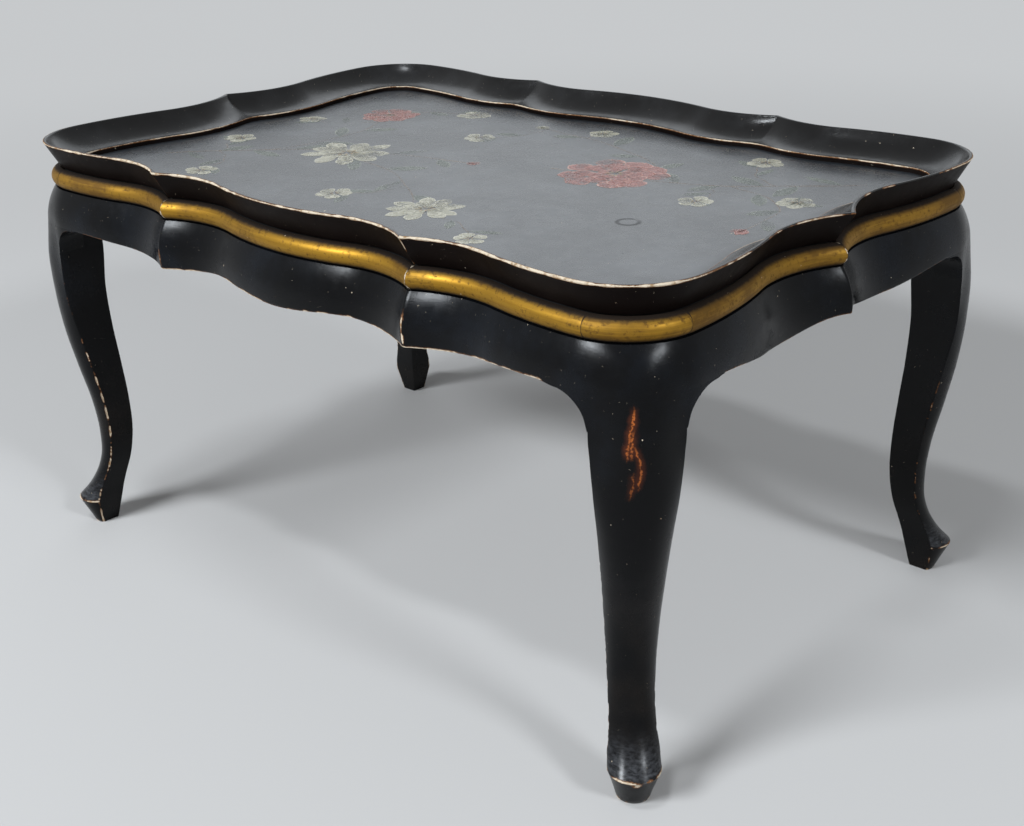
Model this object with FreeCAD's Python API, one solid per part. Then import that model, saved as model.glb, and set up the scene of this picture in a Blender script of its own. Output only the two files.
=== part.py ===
import FreeCAD, Part
import os
from math import asin, atan2, cos, degrees, hypot, radians, sin, sqrt

Vector = FreeCAD.Vector
UP = Vector(0, 0, 1)

# Overall size, millimetres, table standing on the floor at z = 0 with its middle on the z axis
length = 893.0                 # rim, from short-side cusp to short-side cusp
width = 593.0                  # rim, from swelling to swelling in the middle of the long sides
height = 480.0                 # floor to rim

# Plan of the rim: hollows and swellings struck with the compass, meeting in six outward cusps
hollow_radius = 121.0
long_hollow = 60.0             # long-side cusp to the bottom of the hollow beside it
short_hollow = 72.0            # short-side cusp to the bottom of the hollow beside it
long_crest_setback = 88.5      # table end to the top of the swelling beside the corner
long_crest_drop = 2.5          # how far that swelling stays inside the middle one
short_crest_setback = 87.5     # table side to the top of the short-side swelling
short_crest_drop = 5.5         # how far that swelling stays inside the cusp
corner_radius = 76.0

# Tray
board_thickness = 11.0
board_inset = 19.0             # board edge behind the rim
gallery_rise = 29.0            # board to rim
gallery_foot_inset = 15.2      # outer foot of the flared gallery behind the rim
gallery_foot_width = 24.8
fillet_height = 5.5            # upright fillet between the field and the cove
rim_thickness = 4.0
rim_rounding = 1.0
cove_hollow = 5.0              # depth of the cove below its chord

# Gilt bead
bead_height = 21.0
bead_below_seat = 11.0         # part of the bead that lies in the rebate under the tray seat
bead_inset = 4.0               # outermost line of the bead behind the rim
bead_depth = 11.0
bead_clearance = 0.2           # glue line behind the bead
bead_foot = 6.0                # flat underside
bead_crown = 2.0               # flat top
bead_joint_lap = 11.0          # corner lengths run past the leg onto the aprons

# Aprons
apron_stock = 48.5             # inner face behind the rim's furthest reach
apron_top_inset = 7.0          # face just under the bead, behind the rim
belly_reach = 3.0              # fullest part of the belly, outside the rim
belly_drop = 36.0              # fullest part below the bead
knee_depth = 40.0              # apron depth below the bead, beside the legs
middle_depth = 50.0            # ... in the middle of a long side
hollow_depth = 44.0            # ... inside a long-side cusp
cusp_depth = 49.0              # ... either side of a long-side cusp
side_cusp_depth = 42.0         # ... at a short-side cusp
side_hollow_depth = 53.0       # ... beside a short-side cusp
edge_inner_run = 90.0          # middle of a long side to its shallowest place
edge_cusp_run = 26.0           # long-side cusp to the lowest places beside it
edge_side_run = 56.0           # short-side cusp to the lowest places beside it
edge_flat = 40.0               # level stretch of the lower edge beside a leg

# Apron tenons
tenon_length = 18.0
tenon_thickness = 12.0
tenon_height = 28.0
tenon_shoulder = 8.0           # inner face of the apron to the tenon
tenon_clearance = 0.2
glue_line = 0.1                # aprons, ears and corner blocks against the leg head

# Legs: sections measured from the centre of the corner stroke, along x and y alike
leg_inner = 20.0               # flat inner faces of the leg head
lip_level = 33.0               # sharp lip of the toe
lip_inner = 34.0
lip_edge = 68.0
lip_nose = 71.0
foot_inner = 40.5              # base on the floor
foot_edge = 62.0
foot_nose = 60.0
knee_swell = 7.6               # knee beyond the rounded corner, along x and y on the diagonal
head_sections = 5
shaft = [                      # share of the way from lip to knee, inner corner, arris, nose
    (0.036, 31.5, 65.2, 62.2),
    (0.081, 27.7, 58.7, 54.2),
    (0.144, 22.0, 51.9, 47.4),
    (0.242, 17.3, 48.5, 45.0),
    (0.353, 16.8, 50.8, 47.4),
    (0.478, 18.9, 57.3, 54.0),
    (0.617, 21.8, 66.3, 60.5),
    (0.742, 22.8, 74.0, 63.2),
]

# Knee ears
ear_radius = 32.0
ear_nib = 1.5                  # thickness left where the quarter hollow runs out
ear_thickness = 30.0

# Corner blocks, bearers and screws
block_leg = 64.0               # block along each apron, from the leg head
block_height = 34.0
block_drop = 4.0               # block below the tray seat
block_gap = 14.0               # wood left between a block's screw head and the apron
bearer_place = 150.0           # middle of the table to each bearer
bearer_width = 45.0
bearer_thickness = 18.0
housing_depth = 14.0           # bearer end let into the apron
housing_clearance = 0.2
screw_diameter = 4.0
screw_length = 34.0
screw_head = 8.0
screw_clearance = 0.1
screw_pocket = 11.0            # bore that leads to a block's screw head

# Levels and places that follow from the sizes
half_length = length / 2
half_width = width / 2
long_crest = half_length - long_crest_setback
short_crest = half_width - short_crest_setback
long_cusp = long_crest / 2     # midway between the middle swelling and the one beside the corner
board_top = height - gallery_rise
seat = board_top - board_thickness
bead_bottom = seat - bead_below_seat
bead_top = bead_bottom + bead_height
bead_back = bead_inset + bead_depth
belly_level = bead_bottom - belly_drop
knee_edge = bead_bottom - knee_depth
deepest = max(knee_depth, middle_depth, hollow_depth, cusp_depth, side_cusp_depth, side_hollow_depth)
apron_bottom = bead_bottom - deepest
ear_bottom = knee_edge - ear_radius - ear_nib
belly_bow = apron_top_inset + belly_reach
belly_radius = (belly_drop ** 2 + belly_bow ** 2) / (2 * belly_bow)
long_inner_face = half_width - apron_stock
short_inner_face = half_length - apron_stock
reach = max(length, width)


class Stroke:
    """One compass stroke of the plan, between two angles in degrees.

    side is 1 where the centre lies inside the table and -1 where it lies outside. A stroke that
    ends in a cusp gives the direction of its hollow and the run to the cusp, which is negative
    where the cusp is at the lower angle.
    """

    def __init__(self, centre, radius, side, first, second, hollow=0, run=0):
        self.centre = centre
        self.radius = radius
        self.side = side
        self.low = min(first, second)
        self.high = max(first, second)
        self.hollow = hollow
        self.run = run

    def angles(self, inset):
        low = self.low
        high = self.high
        if self.run > 0:
            high = self.hollow + degrees(asin(self.run / (self.radius + inset)))
        if self.run < 0:
            low = self.hollow + degrees(asin(self.run / (self.radius + inset)))
        return low, high

    def edge(self, inset):
        low, high = self.angles(inset)
        centre = Vector(self.centre[0], self.centre[1], 0)
        return Part.makeCircle(self.radius - self.side * inset, centre, UP, low, high)


def direction(start, end):
    return degrees(atan2(end[1] - start[1], end[0] - start[0]))


def towards(start, end, distance):
    angle = radians(direction(start, end))
    return (start[0] + distance * cos(angle), start[1] + distance * sin(angle))


def swelling_radius(run, rise):
    """Radius of a swelling whose top lies run along and rise out from the bottom of a hollow."""
    return (run ** 2 + (hollow_radius - rise) ** 2 - hollow_radius ** 2) / (2 * rise)


def hollow_rise(run):
    return hollow_radius - sqrt(hollow_radius ** 2 - run ** 2)


def inner_centre(first, first_radius, second, second_radius, radius):
    """Centre of the corner stroke that lies inside and against two swellings."""
    a = first_radius - radius
    b = second_radius - radius
    span = hypot(second[0] - first[0], second[1] - first[1])
    along = (a ** 2 - b ** 2 + span ** 2) / (2 * span)
    across = sqrt(a ** 2 - along ** 2)
    base = towards(first, second, along)
    turn = radians(direction(first, second) - 90)
    return (base[0] + across * cos(turn), base[1] + across * sin(turn))


def plan_strokes():
    """Strokes of the plan in the quarter where x and y are positive, from the long side to the short."""
    long_floor = half_width - hollow_rise(long_hollow)
    short_floor = half_length - hollow_rise(short_hollow)
    near = (long_cusp - long_hollow, long_floor + hollow_radius)
    far = (long_cusp + long_hollow, long_floor + hollow_radius)
    side = (short_floor + hollow_radius, short_hollow)
    middle_radius = swelling_radius(near[0], half_width - long_floor)
    long_radius = swelling_radius(long_crest - far[0], half_width - long_crest_drop - long_floor)
    short_radius = swelling_radius(short_crest - short_hollow, half_length - short_crest_drop - short_floor)
    middle = (0, half_width - middle_radius)
    long_swell = (long_crest, half_width - long_crest_drop - long_radius)
    short_swell = (half_length - short_crest_drop - short_radius, short_crest)
    corner = inner_centre(long_swell, long_radius, short_swell, short_radius, corner_radius)
    long_corner = direction(long_swell, corner)
    short_corner = direction(short_swell, corner)
    return [
        Stroke(middle, middle_radius, 1, direction(middle, near), 90),
        Stroke(near, hollow_radius, -1, direction(near, middle), -90, -90, long_hollow),
        Stroke(far, hollow_radius, -1, -90, direction(far, long_swell), -90, -long_hollow),
        Stroke(long_swell, long_radius, 1, long_corner, direction(long_swell, far)),
        Stroke(corner, corner_radius, 1, short_corner, long_corner),
        Stroke(short_swell, short_radius, 1, direction(short_swell, side), short_corner),
        Stroke(side, hollow_radius, -1, direction(side, short_swell), 180, 180, short_hollow),
    ]


strokes = plan_strokes()
corner_stroke = strokes[4]
corner_x, corner_y = corner_stroke.centre
leg_face_x = corner_x + leg_inner
leg_face_y = corner_y + leg_inner
shoulder_x = leg_face_x - glue_line
shoulder_y = leg_face_y - glue_line


def box(x0, x1, y0, y1, z0, z1):
    return Part.makeBox(x1 - x0, y1 - y0, z1 - z0, Vector(x0, y0, z0))


def fused(solids):
    whole = solids[0].multiFuse(solids[1:]) if len(solids) > 1 else solids[0]
    return whole.removeSplitter()


def flipped(shape, x_side, y_side):
    """Shape of the positive quarter carried to the quarter with the given signs."""
    if x_side < 0:
        shape = shape.mirror(Vector(0, 0, 0), Vector(1, 0, 0))
    if y_side < 0:
        shape = shape.mirror(Vector(0, 0, 0), Vector(0, 1, 0))
    return shape


def path_face(path):
    """Face inside a closed path; a step of two points is an arc through the first of them."""
    edges = []
    last = path[-1][-1]
    for step in path:
        if len(step) == 1:
            edges.append(Part.makeLine(last, step[0]))
        else:
            edges.append(Part.Arc(last, step[0], step[1]).toShape())
        last = step[-1]
    return Part.Face(Part.Wire(edges))


def turned(profile, stroke):
    """Section of (inset, level) points carried round one stroke, as far as its cusp reaches."""
    path = [[Vector(stroke.radius - stroke.side * inset, 0, level) for inset, level in step]
            for step in profile]
    low, high = stroke.angles(min(inset for step in profile for inset, level in step))
    face = path_face(path)
    face.rotate(Vector(0, 0, 0), UP, low)
    solid = face.revolve(Vector(0, 0, 0), UP, high - low)
    solid.translate(Vector(stroke.centre[0], stroke.centre[1], 0))
    return solid


def moulding(profile, x0, x1, y0, y1):
    """Length of moulding on the positive quarter, cut to a plan box and mitred at the cusps."""
    pieces = []
    for number, stroke in enumerate(strokes):
        left = max(x0, long_cusp) if number == 2 else x0
        right = min(x1, long_cusp) if number == 1 else x1
        if right <= left:
            continue
        pieces += turned(profile, stroke).common(box(left, right, y0, y1, 0, reach)).Solids
    return fused(pieces)


def doubled(half, normal):
    """Half a piece joined to its mirror image across the middle of the table."""
    return fused([half, half.mirror(Vector(0, 0, 0), normal)])


# Gilt bead: half-round, laid in the rebate round the top of the stand

def bead_profile():
    middle = bead_bottom + bead_height / 2
    return [
        [(bead_back, bead_bottom)],
        [(bead_back - bead_foot, bead_bottom)],
        [(bead_inset, middle), (bead_back - bead_crown, bead_top)],
        [(bead_back, bead_top)],
    ]


def beads():
    profile = bead_profile()
    joint_x = leg_face_x - bead_joint_lap
    joint_y = leg_face_y - bead_joint_lap
    middle = doubled(moulding(profile, 0, long_cusp, 0, reach), Vector(1, 0, 0))
    long_end = moulding(profile, long_cusp, joint_x, 0, reach)
    corner = moulding(profile, joint_x, reach, joint_y, reach)
    short_end = moulding(profile, 0, reach, 0, joint_y)
    pieces = {}
    for y_name, y_side in (("front", -1), ("back", 1)):
        pieces[f"bead_{y_name}_middle"] = flipped(middle, 1, y_side)
        for x_name, x_side in (("left", -1), ("right", 1)):
            pieces[f"bead_{y_name}_{x_name}"] = flipped(long_end, x_side, y_side)
            pieces[f"bead_corner_{y_name}_{x_name}"] = flipped(corner, x_side, y_side)
            pieces[f"bead_{x_name}_{y_name}"] = flipped(short_end, x_side, y_side)
    return pieces


# Aprons: thick boards sawn and carved to the plan, with a belly, a rebate and stub tenons

def belly_inset(level):
    """Apron face behind the rim at a level; outside the rim it is negative."""
    return belly_radius - belly_reach - sqrt(belly_radius ** 2 - (level - belly_level) ** 2)


def apron_profile():
    rebate = bead_back + bead_clearance
    inside = corner_radius - bead_clearance
    middle = (bead_bottom + apron_bottom) / 2
    return [
        [(inside, apron_bottom)],
        [(inside, seat)],
        [(rebate, seat)],
        [(rebate, bead_bottom)],
        [(apron_top_inset, bead_bottom)],
        [(belly_inset(middle), middle), (belly_inset(apron_bottom), apron_bottom)],
    ]


def below_edge(points):
    """Space under an apron's lower edge: a curve through (along, depth) points, level at both ends."""
    level = Vector(1, 0, 0)
    line = [Vector(-along, 0, bead_bottom - depth) for along, depth in reversed(points[1:])]
    line += [Vector(along, 0, bead_bottom - depth) for along, depth in points]
    curve = Part.BSplineCurve()
    curve.interpolate(Points=line, InitialTangent=level, FinalTangent=level)
    floor = apron_bottom - deepest
    corners = [line[-1], Vector(reach, 0, line[-1].z), Vector(reach, 0, floor), Vector(-reach, 0, floor),
               Vector(-reach, 0, line[0].z), line[0]]
    wire = Part.Wire([curve.toShape()] + [Part.makeLine(a, b) for a, b in zip(corners, corners[1:])])
    return Part.Face(wire).extrude(Vector(0, reach, 0))


def tenon_box(shoulder, gap):
    """Stub tenon past an apron's shoulder along x; the apron's inner face lies at y = 0."""
    middle = (seat + apron_bottom) / 2
    return box(shoulder, shoulder + tenon_length + gap,
               tenon_shoulder - gap, tenon_shoulder + tenon_thickness + gap,
               middle - tenon_height / 2 - gap, middle + tenon_height / 2 + gap)


def long_tenon(gap):
    tenon = tenon_box(shoulder_x, gap)
    tenon.translate(Vector(0, long_inner_face, 0))
    return tenon


def short_tenon(gap):
    tenon = tenon_box(shoulder_y, gap)
    tenon = tenon.mirror(Vector(0, 0, 0), Vector(1, -1, 0))
    tenon.translate(Vector(short_inner_face, 0, 0))
    return tenon


def long_apron():
    half = moulding(apron_profile(), 0, shoulder_x, long_inner_face, reach)
    edge = [(0, middle_depth), (edge_inner_run, hollow_depth), (long_cusp - edge_cusp_run, cusp_depth),
            (long_cusp + edge_cusp_run, cusp_depth), (leg_face_x - edge_flat, knee_depth)]
    half = half.cut(below_edge(edge)).fuse(long_tenon(0)).cut(housing())
    return doubled(bored(half, bearer_screws() + block_screws()[:1]), Vector(1, 0, 0))


def short_apron():
    half = moulding(apron_profile(), short_inner_face, reach, 0, shoulder_y)
    edge = [(0, side_cusp_depth), (edge_side_run, side_hollow_depth), (leg_face_y - edge_flat, knee_depth)]
    under = below_edge(edge).rotated(Vector(0, 0, 0), UP, -90)
    half = half.cut(under).fuse(short_tenon(0))
    return doubled(bored(half, block_screws()[1:]), Vector(0, 1, 0))


# Legs: cabriole, rounded outside from arris to arris, flat on the two inner faces

def leg_section(level, inner, edge, nose, slope):
    """Closed section; slope is the angle at which the rounded face leaves each arris."""
    corner = Vector(inner, inner, level)
    first = Vector(inner, edge, level)
    last = Vector(edge, inner, level)
    round_face = Part.BSplineCurve()
    round_face.interpolate(Points=[first, Vector(nose, nose, level), last],
                           InitialTangent=Vector(cos(slope), -sin(slope), 0),
                           FinalTangent=Vector(sin(slope), -cos(slope), 0))
    return Part.Wire([Part.makeLine(corner, first), round_face.toShape(), Part.makeLine(last, corner)])


def round_slope(inner, edge, nose):
    """Slope of the circle through both arrises and the nose, where it leaves the arris."""
    half_chord = (edge - inner) / sqrt(2)
    bow = (nose - (inner + edge) / 2) * sqrt(2)
    return radians(45) - 2 * atan2(bow, half_chord)


def head_section(share):
    """Section of the leg head, flush with the aprons, from the ears' feet up to the bead."""
    level = ear_bottom + share * (bead_bottom - ear_bottom)
    radius = corner_radius - belly_inset(max(level, belly_level))
    edge = sqrt(radius ** 2 - leg_inner ** 2)
    nose = radius / sqrt(2) + knee_swell * (1 - share)
    return leg_section(level, leg_inner, edge, nose, asin(leg_inner / radius))


def leg_head():
    """Top of the head, inside the bead, up to the tray seat."""
    inset = bead_back + bead_clearance
    around = Part.Wire(Part.__sortEdges__([stroke.edge(inset) for stroke in strokes[3:6]]))
    first, last = around.OrderedVertexes[0].Point, around.OrderedVertexes[-1].Point
    inside = Part.makePolygon([last, Vector(0, 0, 0), first])
    prism = Part.Face(Part.Wire(around.Edges + inside.Edges)).extrude(Vector(0, 0, seat - bead_bottom))
    prism.translate(Vector(0, 0, bead_bottom))
    return prism.common(box(leg_face_x, reach, leg_face_y, reach, 0, height))


def leg():
    lip = (lip_inner, lip_edge, lip_nose)
    foot = (foot_inner, foot_edge, foot_nose)
    lip_wire = leg_section(lip_level, *lip, round_slope(*lip))
    rows = [lip_wire]
    for share, inner, edge, nose in shaft:
        level = lip_level + share * (belly_level - lip_level)
        rows.append(leg_section(level, inner, edge, nose, round_slope(inner, edge, nose)))
    rows += [head_section(number / (head_sections - 1)) for number in range(head_sections)]
    upper = Part.makeLoft(rows, True, False)
    toe = Part.makeLoft([leg_section(0, *foot, round_slope(*foot)), lip_wire], True, True)
    solid = upper.fuse(toe)
    solid.translate(Vector(corner_x, corner_y, 0))
    solid = fused([solid, leg_head()])
    return solid.cut(long_tenon(tenon_clearance)).cut(short_tenon(tenon_clearance))


# Knee ears: glued under the apron and against the leg, hollowed to a quarter round

def ear_profile():
    inner = ear_thickness - belly_reach
    return [[(inner, ear_bottom)], [(inner, knee_edge)], [(-belly_reach, knee_edge)],
            [(-belly_reach, ear_bottom)]]


def long_ear():
    start = leg_face_x - ear_radius - ear_nib
    block = moulding(ear_profile(), start, shoulder_x, 0, reach)
    return block.cut(Part.makeCylinder(ear_radius, reach, Vector(start, 0, ear_bottom), Vector(0, 1, 0)))


def short_ear():
    start = leg_face_y - ear_radius - ear_nib
    block = moulding(ear_profile(), 0, reach, start, shoulder_y)
    return block.cut(Part.makeCylinder(ear_radius, reach, Vector(0, start, ear_bottom), Vector(1, 0, 0)))


# Corner blocks, bearers and their screws

def corner_block():
    corners = [
        (leg_face_x - block_leg, long_inner_face), (shoulder_x, long_inner_face), (shoulder_x, shoulder_y),
        (short_inner_face, shoulder_y), (short_inner_face, leg_face_y - block_leg),
    ]
    top = seat - block_drop
    outline = [Vector(x, y, top - block_height) for x, y in corners]
    block = Part.Face(Part.makePolygon(outline + outline[:1])).extrude(Vector(0, 0, block_height))
    for place, way in block_screws():
        block = block.cut(Part.makeCylinder(screw_pocket / 2, reach, place, way.negative()))
    return bored(block, block_screws())


def block_screws():
    """Head place and direction of the two screws of a corner block, one into each apron."""
    level = seat - block_drop - block_height / 2
    along_x = leg_face_x - block_leg / 2
    along_y = leg_face_y - block_leg / 2
    return [
        (Vector(along_x, long_inner_face - block_gap, level), Vector(0, 1, 0)),
        (Vector(short_inner_face - block_gap, along_y, level), Vector(1, 0, 0)),
    ]


def screw(place, way, gap):
    """Countersunk wood screw from the middle of its flat head along its way."""
    head = screw_head / 2 + gap
    shank = screw_diameter / 2 + gap
    cone = Part.makeCone(head, shank, head - shank, place, way)
    return cone.fuse(Part.makeCylinder(shank, screw_length + gap, place, way)).removeSplitter()


def bearer_screws():
    """Head place and direction of the screw that holds a bearer's end."""
    return [(Vector(bearer_place, long_inner_face + housing_depth / 2, seat), Vector(0, 0, -1))]


def bored(solid, places):
    """Solid with the bores of the screws at these places."""
    for place, way in places:
        solid = solid.cut(screw(place, way, screw_clearance))
    return solid


def bearer_end(gap):
    """Half a bearer, from the middle of the table into the back apron."""
    half = bearer_width / 2 + gap
    return box(bearer_place - half, bearer_place + half, 0, long_inner_face + housing_depth + gap,
               seat - bearer_thickness, seat)


def housing():
    return bearer_end(housing_clearance)


def bearer():
    return doubled(bored(bearer_end(0), bearer_screws()), Vector(0, 1, 0))


def screw_group(places):
    solids = []
    for x_side in (-1, 1):
        for y_side in (-1, 1):
            solids += [flipped(screw(place, way, 0), x_side, y_side) for place, way in places]
    return Part.makeCompound(solids)


# Tray: a board with a flared, coved gallery planted round it

def gallery_profile():
    inner = gallery_foot_inset + gallery_foot_width
    arris = board_top + fillet_height
    shoulder = height - rim_rounding
    drop = shoulder - arris
    run = inner - rim_thickness
    bow = cove_hollow / hypot(run, drop)
    cove = ((inner + rim_thickness) / 2 - drop * bow, (arris + shoulder) / 2 - run * bow)
    return [
        [(gallery_foot_inset, board_top)],
        [(inner, board_top)],
        [(inner, arris)],
        [cove, (rim_thickness, shoulder)],
        [(rim_thickness / 2, height), (0, shoulder)],
    ]


def gallery():
    profile = gallery_profile()
    middle = doubled(moulding(profile, 0, long_cusp, 0, reach), Vector(1, 0, 0))
    corner = moulding(profile, long_cusp, reach, 0, reach)
    pieces = {}
    for y_name, y_side in (("front", -1), ("back", 1)):
        pieces[f"gallery_{y_name}"] = flipped(middle, 1, y_side)
        for x_name, x_side in (("left", -1), ("right", 1)):
            pieces[f"gallery_{y_name}_{x_name}"] = flipped(corner, x_side, y_side)
    return pieces


def tray_board():
    quarter = [stroke.edge(board_inset) for stroke in strokes]
    edges = []
    for x_side in (-1, 1):
        for y_side in (-1, 1):
            edges += [flipped(edge, x_side, y_side) for edge in quarter]
    outline = Part.Wire(Part.__sortEdges__(edges))
    board = Part.Face(outline).extrude(Vector(0, 0, board_thickness))
    board.translate(Vector(0, 0, seat))
    return board


def stand():
    pieces = beads()
    long_side = long_apron()
    short_side = short_apron()
    pieces["apron_back"] = long_side
    pieces["apron_front"] = flipped(long_side, 1, -1)
    pieces["apron_right"] = short_side
    pieces["apron_left"] = flipped(short_side, -1, 1)
    corners = {"leg": leg(), "corner_block": corner_block(),
               "ear_long": long_ear(), "ear_short": short_ear()}
    for y_name, y_side in (("front", -1), ("back", 1)):
        for x_name, x_side in (("left", -1), ("right", 1)):
            for name, shape in corners.items():
                pieces[f"{name}_{y_name}_{x_name}"] = flipped(shape, x_side, y_side)
    plank = bearer()
    pieces["bearer_right"] = plank
    pieces["bearer_left"] = flipped(plank, -1, 1)
    pieces["bearer_screws"] = screw_group(bearer_screws())
    pieces["block_screws"] = screw_group(block_screws())
    return pieces


def tray():
    pieces = gallery()
    pieces["tray_board"] = tray_board()
    return pieces


os.makedirs("parts", exist_ok=True)
for name, shape in {**stand(), **tray()}.items():
    shape.exportStep(f"parts/{name}.step")
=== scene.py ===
import random
from math import acos, asin, atan2, ceil, cos, hypot, pi, radians, sin, sqrt, tan

import bmesh
import bpy
import numpy as np
from mathutils import Matrix, Vector, noise


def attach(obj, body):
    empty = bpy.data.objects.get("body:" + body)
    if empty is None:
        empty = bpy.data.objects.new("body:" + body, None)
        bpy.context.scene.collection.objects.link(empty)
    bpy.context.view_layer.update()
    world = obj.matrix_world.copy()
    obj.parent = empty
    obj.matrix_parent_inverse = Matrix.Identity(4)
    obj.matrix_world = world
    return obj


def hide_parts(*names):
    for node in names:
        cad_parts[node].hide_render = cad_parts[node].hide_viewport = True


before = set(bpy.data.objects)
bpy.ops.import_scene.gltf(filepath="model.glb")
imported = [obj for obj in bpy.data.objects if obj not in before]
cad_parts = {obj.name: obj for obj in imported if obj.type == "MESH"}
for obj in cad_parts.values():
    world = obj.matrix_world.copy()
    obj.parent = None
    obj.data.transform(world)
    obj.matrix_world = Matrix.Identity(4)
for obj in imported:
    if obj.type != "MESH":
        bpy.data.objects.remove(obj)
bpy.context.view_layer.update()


# Aprons
# Four boards sawn to a plan struck with the compass, bellied on the face and scalloped along the lower edge.
# They are lacquered black over a white ground, bare inside, and tenoned into the leg heads.

mm = 0.001
half_length = 446.5 * mm
half_width = 296.5 * mm
hollow_radius = 121 * mm
long_hollow = 60 * mm
short_hollow = 72 * mm
long_crest = half_length - 88.5 * mm
short_crest = half_width - 87.5 * mm
long_crest_drop = 2.5 * mm
short_crest_drop = 5.5 * mm
long_cusp = long_crest / 2
corner_radius = 76 * mm


class Arc:
    """One compass stroke of the plan; side is -1 where its centre lies outside the table.

    Each end is an angle, or a plane across the plan, such as ("x", 0.18), that cuts it.
    """

    def __init__(self, centre, radius, side, start, end):
        self.centre = centre
        self.radius = radius
        self.side = side
        self.start = start
        self.end = end

    def angle(self, end, radius):
        if not isinstance(end, tuple):
            return end
        axis, place = end
        if axis == "x":
            return self.side * acos((place - self.centre[0]) / radius)
        climb = asin((place - self.centre[1]) / radius)
        return climb if self.side > 0 else pi - climb

    def point(self, share, inset):
        radius = self.radius - self.side * inset
        start = self.angle(self.start, radius)
        turn = start + share * (self.angle(self.end, radius) - start)
        return self.centre[0] + radius * cos(turn), self.centre[1] + radius * sin(turn)

    def length(self):
        return self.radius * abs(self.angle(self.end, self.radius) - self.angle(self.start, self.radius))


def direction(start, end):
    return atan2(end[1] - start[1], end[0] - start[0])


def swelling_radius(run, reach):
    """Radius of a swelling whose top lies run along and reach out from the bottom of a hollow."""
    return (run ** 2 + (hollow_radius - reach) ** 2 - hollow_radius ** 2) / (2 * reach)


def corner_centre(first, first_radius, second, second_radius):
    """Centre of the corner stroke that lies inside and against two swellings."""
    a = first_radius - corner_radius
    b = second_radius - corner_radius
    span = hypot(second[0] - first[0], second[1] - first[1])
    along = (a ** 2 - b ** 2 + span ** 2) / (2 * span)
    across = sqrt(a ** 2 - along ** 2)
    turn = direction(first, second)
    return (first[0] + along * cos(turn) + across * sin(turn),
            first[1] + along * sin(turn) - across * cos(turn))


def strike_plan():
    """Strokes of the quarter where x and y are positive, from the middle of the long side to the short."""
    long_floor = half_width - hollow_radius + sqrt(hollow_radius ** 2 - long_hollow ** 2)
    short_floor = half_length - hollow_radius + sqrt(hollow_radius ** 2 - short_hollow ** 2)
    near = (long_cusp - long_hollow, long_floor + hollow_radius)
    far = (long_cusp + long_hollow, long_floor + hollow_radius)
    side = (short_floor + hollow_radius, short_hollow)
    middle_radius = swelling_radius(near[0], half_width - long_floor)
    long_radius = swelling_radius(long_crest - far[0], half_width - long_crest_drop - long_floor)
    short_radius = swelling_radius(short_crest - short_hollow, half_length - short_crest_drop - short_floor)
    middle = (0, half_width - middle_radius)
    long_swell = (long_crest, half_width - long_crest_drop - long_radius)
    short_swell = (half_length - short_crest_drop - short_radius, short_crest)
    corner = corner_centre(long_swell, long_radius, short_swell, short_radius)
    long_join = direction(long_swell, corner)
    short_join = direction(short_swell, corner)
    return [
        Arc(middle, middle_radius, 1, ("x", 0), direction(middle, near)),
        Arc(near, hollow_radius, -1, direction(near, middle), ("x", long_cusp)),
        Arc(far, hollow_radius, -1, ("x", long_cusp), direction(far, long_swell)),
        Arc(long_swell, long_radius, 1, direction(long_swell, far), long_join),
        Arc(corner, corner_radius, 1, long_join, short_join),
        Arc(short_swell, short_radius, 1, short_join, direction(short_swell, side)),
        Arc(side, hollow_radius, -1, direction(side, short_swell), ("y", 0)),
    ]


def split(arcs, axis, place):
    """Arcs before and after a plane that crosses them once."""
    number = "xy".index(axis)
    for k, arc in enumerate(arcs):
        if (arc.point(0, 0)[number] - place) * (arc.point(1, 0)[number] - place) < 0:
            break
    cut = (axis, place)
    before = Arc(arc.centre, arc.radius, arc.side, arc.start, cut)
    after = Arc(arc.centre, arc.radius, arc.side, cut, arc.end)
    return arcs[:k] + [before], [after] + arcs[k + 1:]


end_gaps = (0.7 * mm, 2 * mm, 4 * mm)


def stations(arcs, step):
    """Places along the arcs, as (arc, share), about one step apart and closer beside each cut end."""
    found = []
    for arc in arcs:
        length = arc.length()
        count = max(2, ceil(length / step))
        shares = {k / count for k in range(count)}
        for gap in end_gaps:
            if isinstance(arc.start, tuple):
                shares.add(gap / length)
            if isinstance(arc.end, tuple):
                shares.add(1 - gap / length)
        found += [(arc, share) for share in sorted(shares)]
    return found + [(arcs[-1], 1)]


plan = strike_plan()
corner_x, corner_y = plan[4].centre
leg_inner = 20 * mm
leg_face_x = corner_x + leg_inner
leg_face_y = corner_y + leg_inner
seat = 440 * mm
bead_bottom = 429 * mm
bead_rebate = 15.2 * mm
belly_level = 393 * mm
belly_reach = 3 * mm
belly_bow = 10 * mm
belly_radius = ((bead_bottom - belly_level) ** 2 + belly_bow ** 2) / (2 * belly_bow)
apron_stock = 48.5 * mm
long_inner_face = half_width - apron_stock
short_inner_face = half_length - apron_stock
knee_depth = 40 * mm
middle_depth = 50 * mm
hollow_depth = 44 * mm
cusp_depth = 49 * mm
side_cusp_depth = 42 * mm
side_hollow_depth = 53 * mm
edge_inner_run = 90 * mm
edge_cusp_run = 26 * mm
edge_side_run = 56 * mm
edge_flat = 40 * mm
long_edge = [(0, middle_depth), (edge_inner_run, hollow_depth), (long_cusp - edge_cusp_run, cusp_depth),
             (long_cusp + edge_cusp_run, cusp_depth), (leg_face_x - edge_flat, knee_depth)]
short_edge = [(0, side_cusp_depth), (edge_side_run, side_hollow_depth), (leg_face_y - edge_flat, knee_depth)]
ear_reach = 33.5 * mm
long_ear_start = leg_face_x - ear_reach
short_ear_start = leg_face_y - ear_reach
board_step = 3.5 * mm
arris_softness = 1.1 * mm
cusp_softness = 0.7 * mm
cusp_reach = 3 * mm
edge_wear = 3.6 * mm
edge_loop = 4 * mm
sharpening = 20 * mm
wear_fades = 16 * mm
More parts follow.
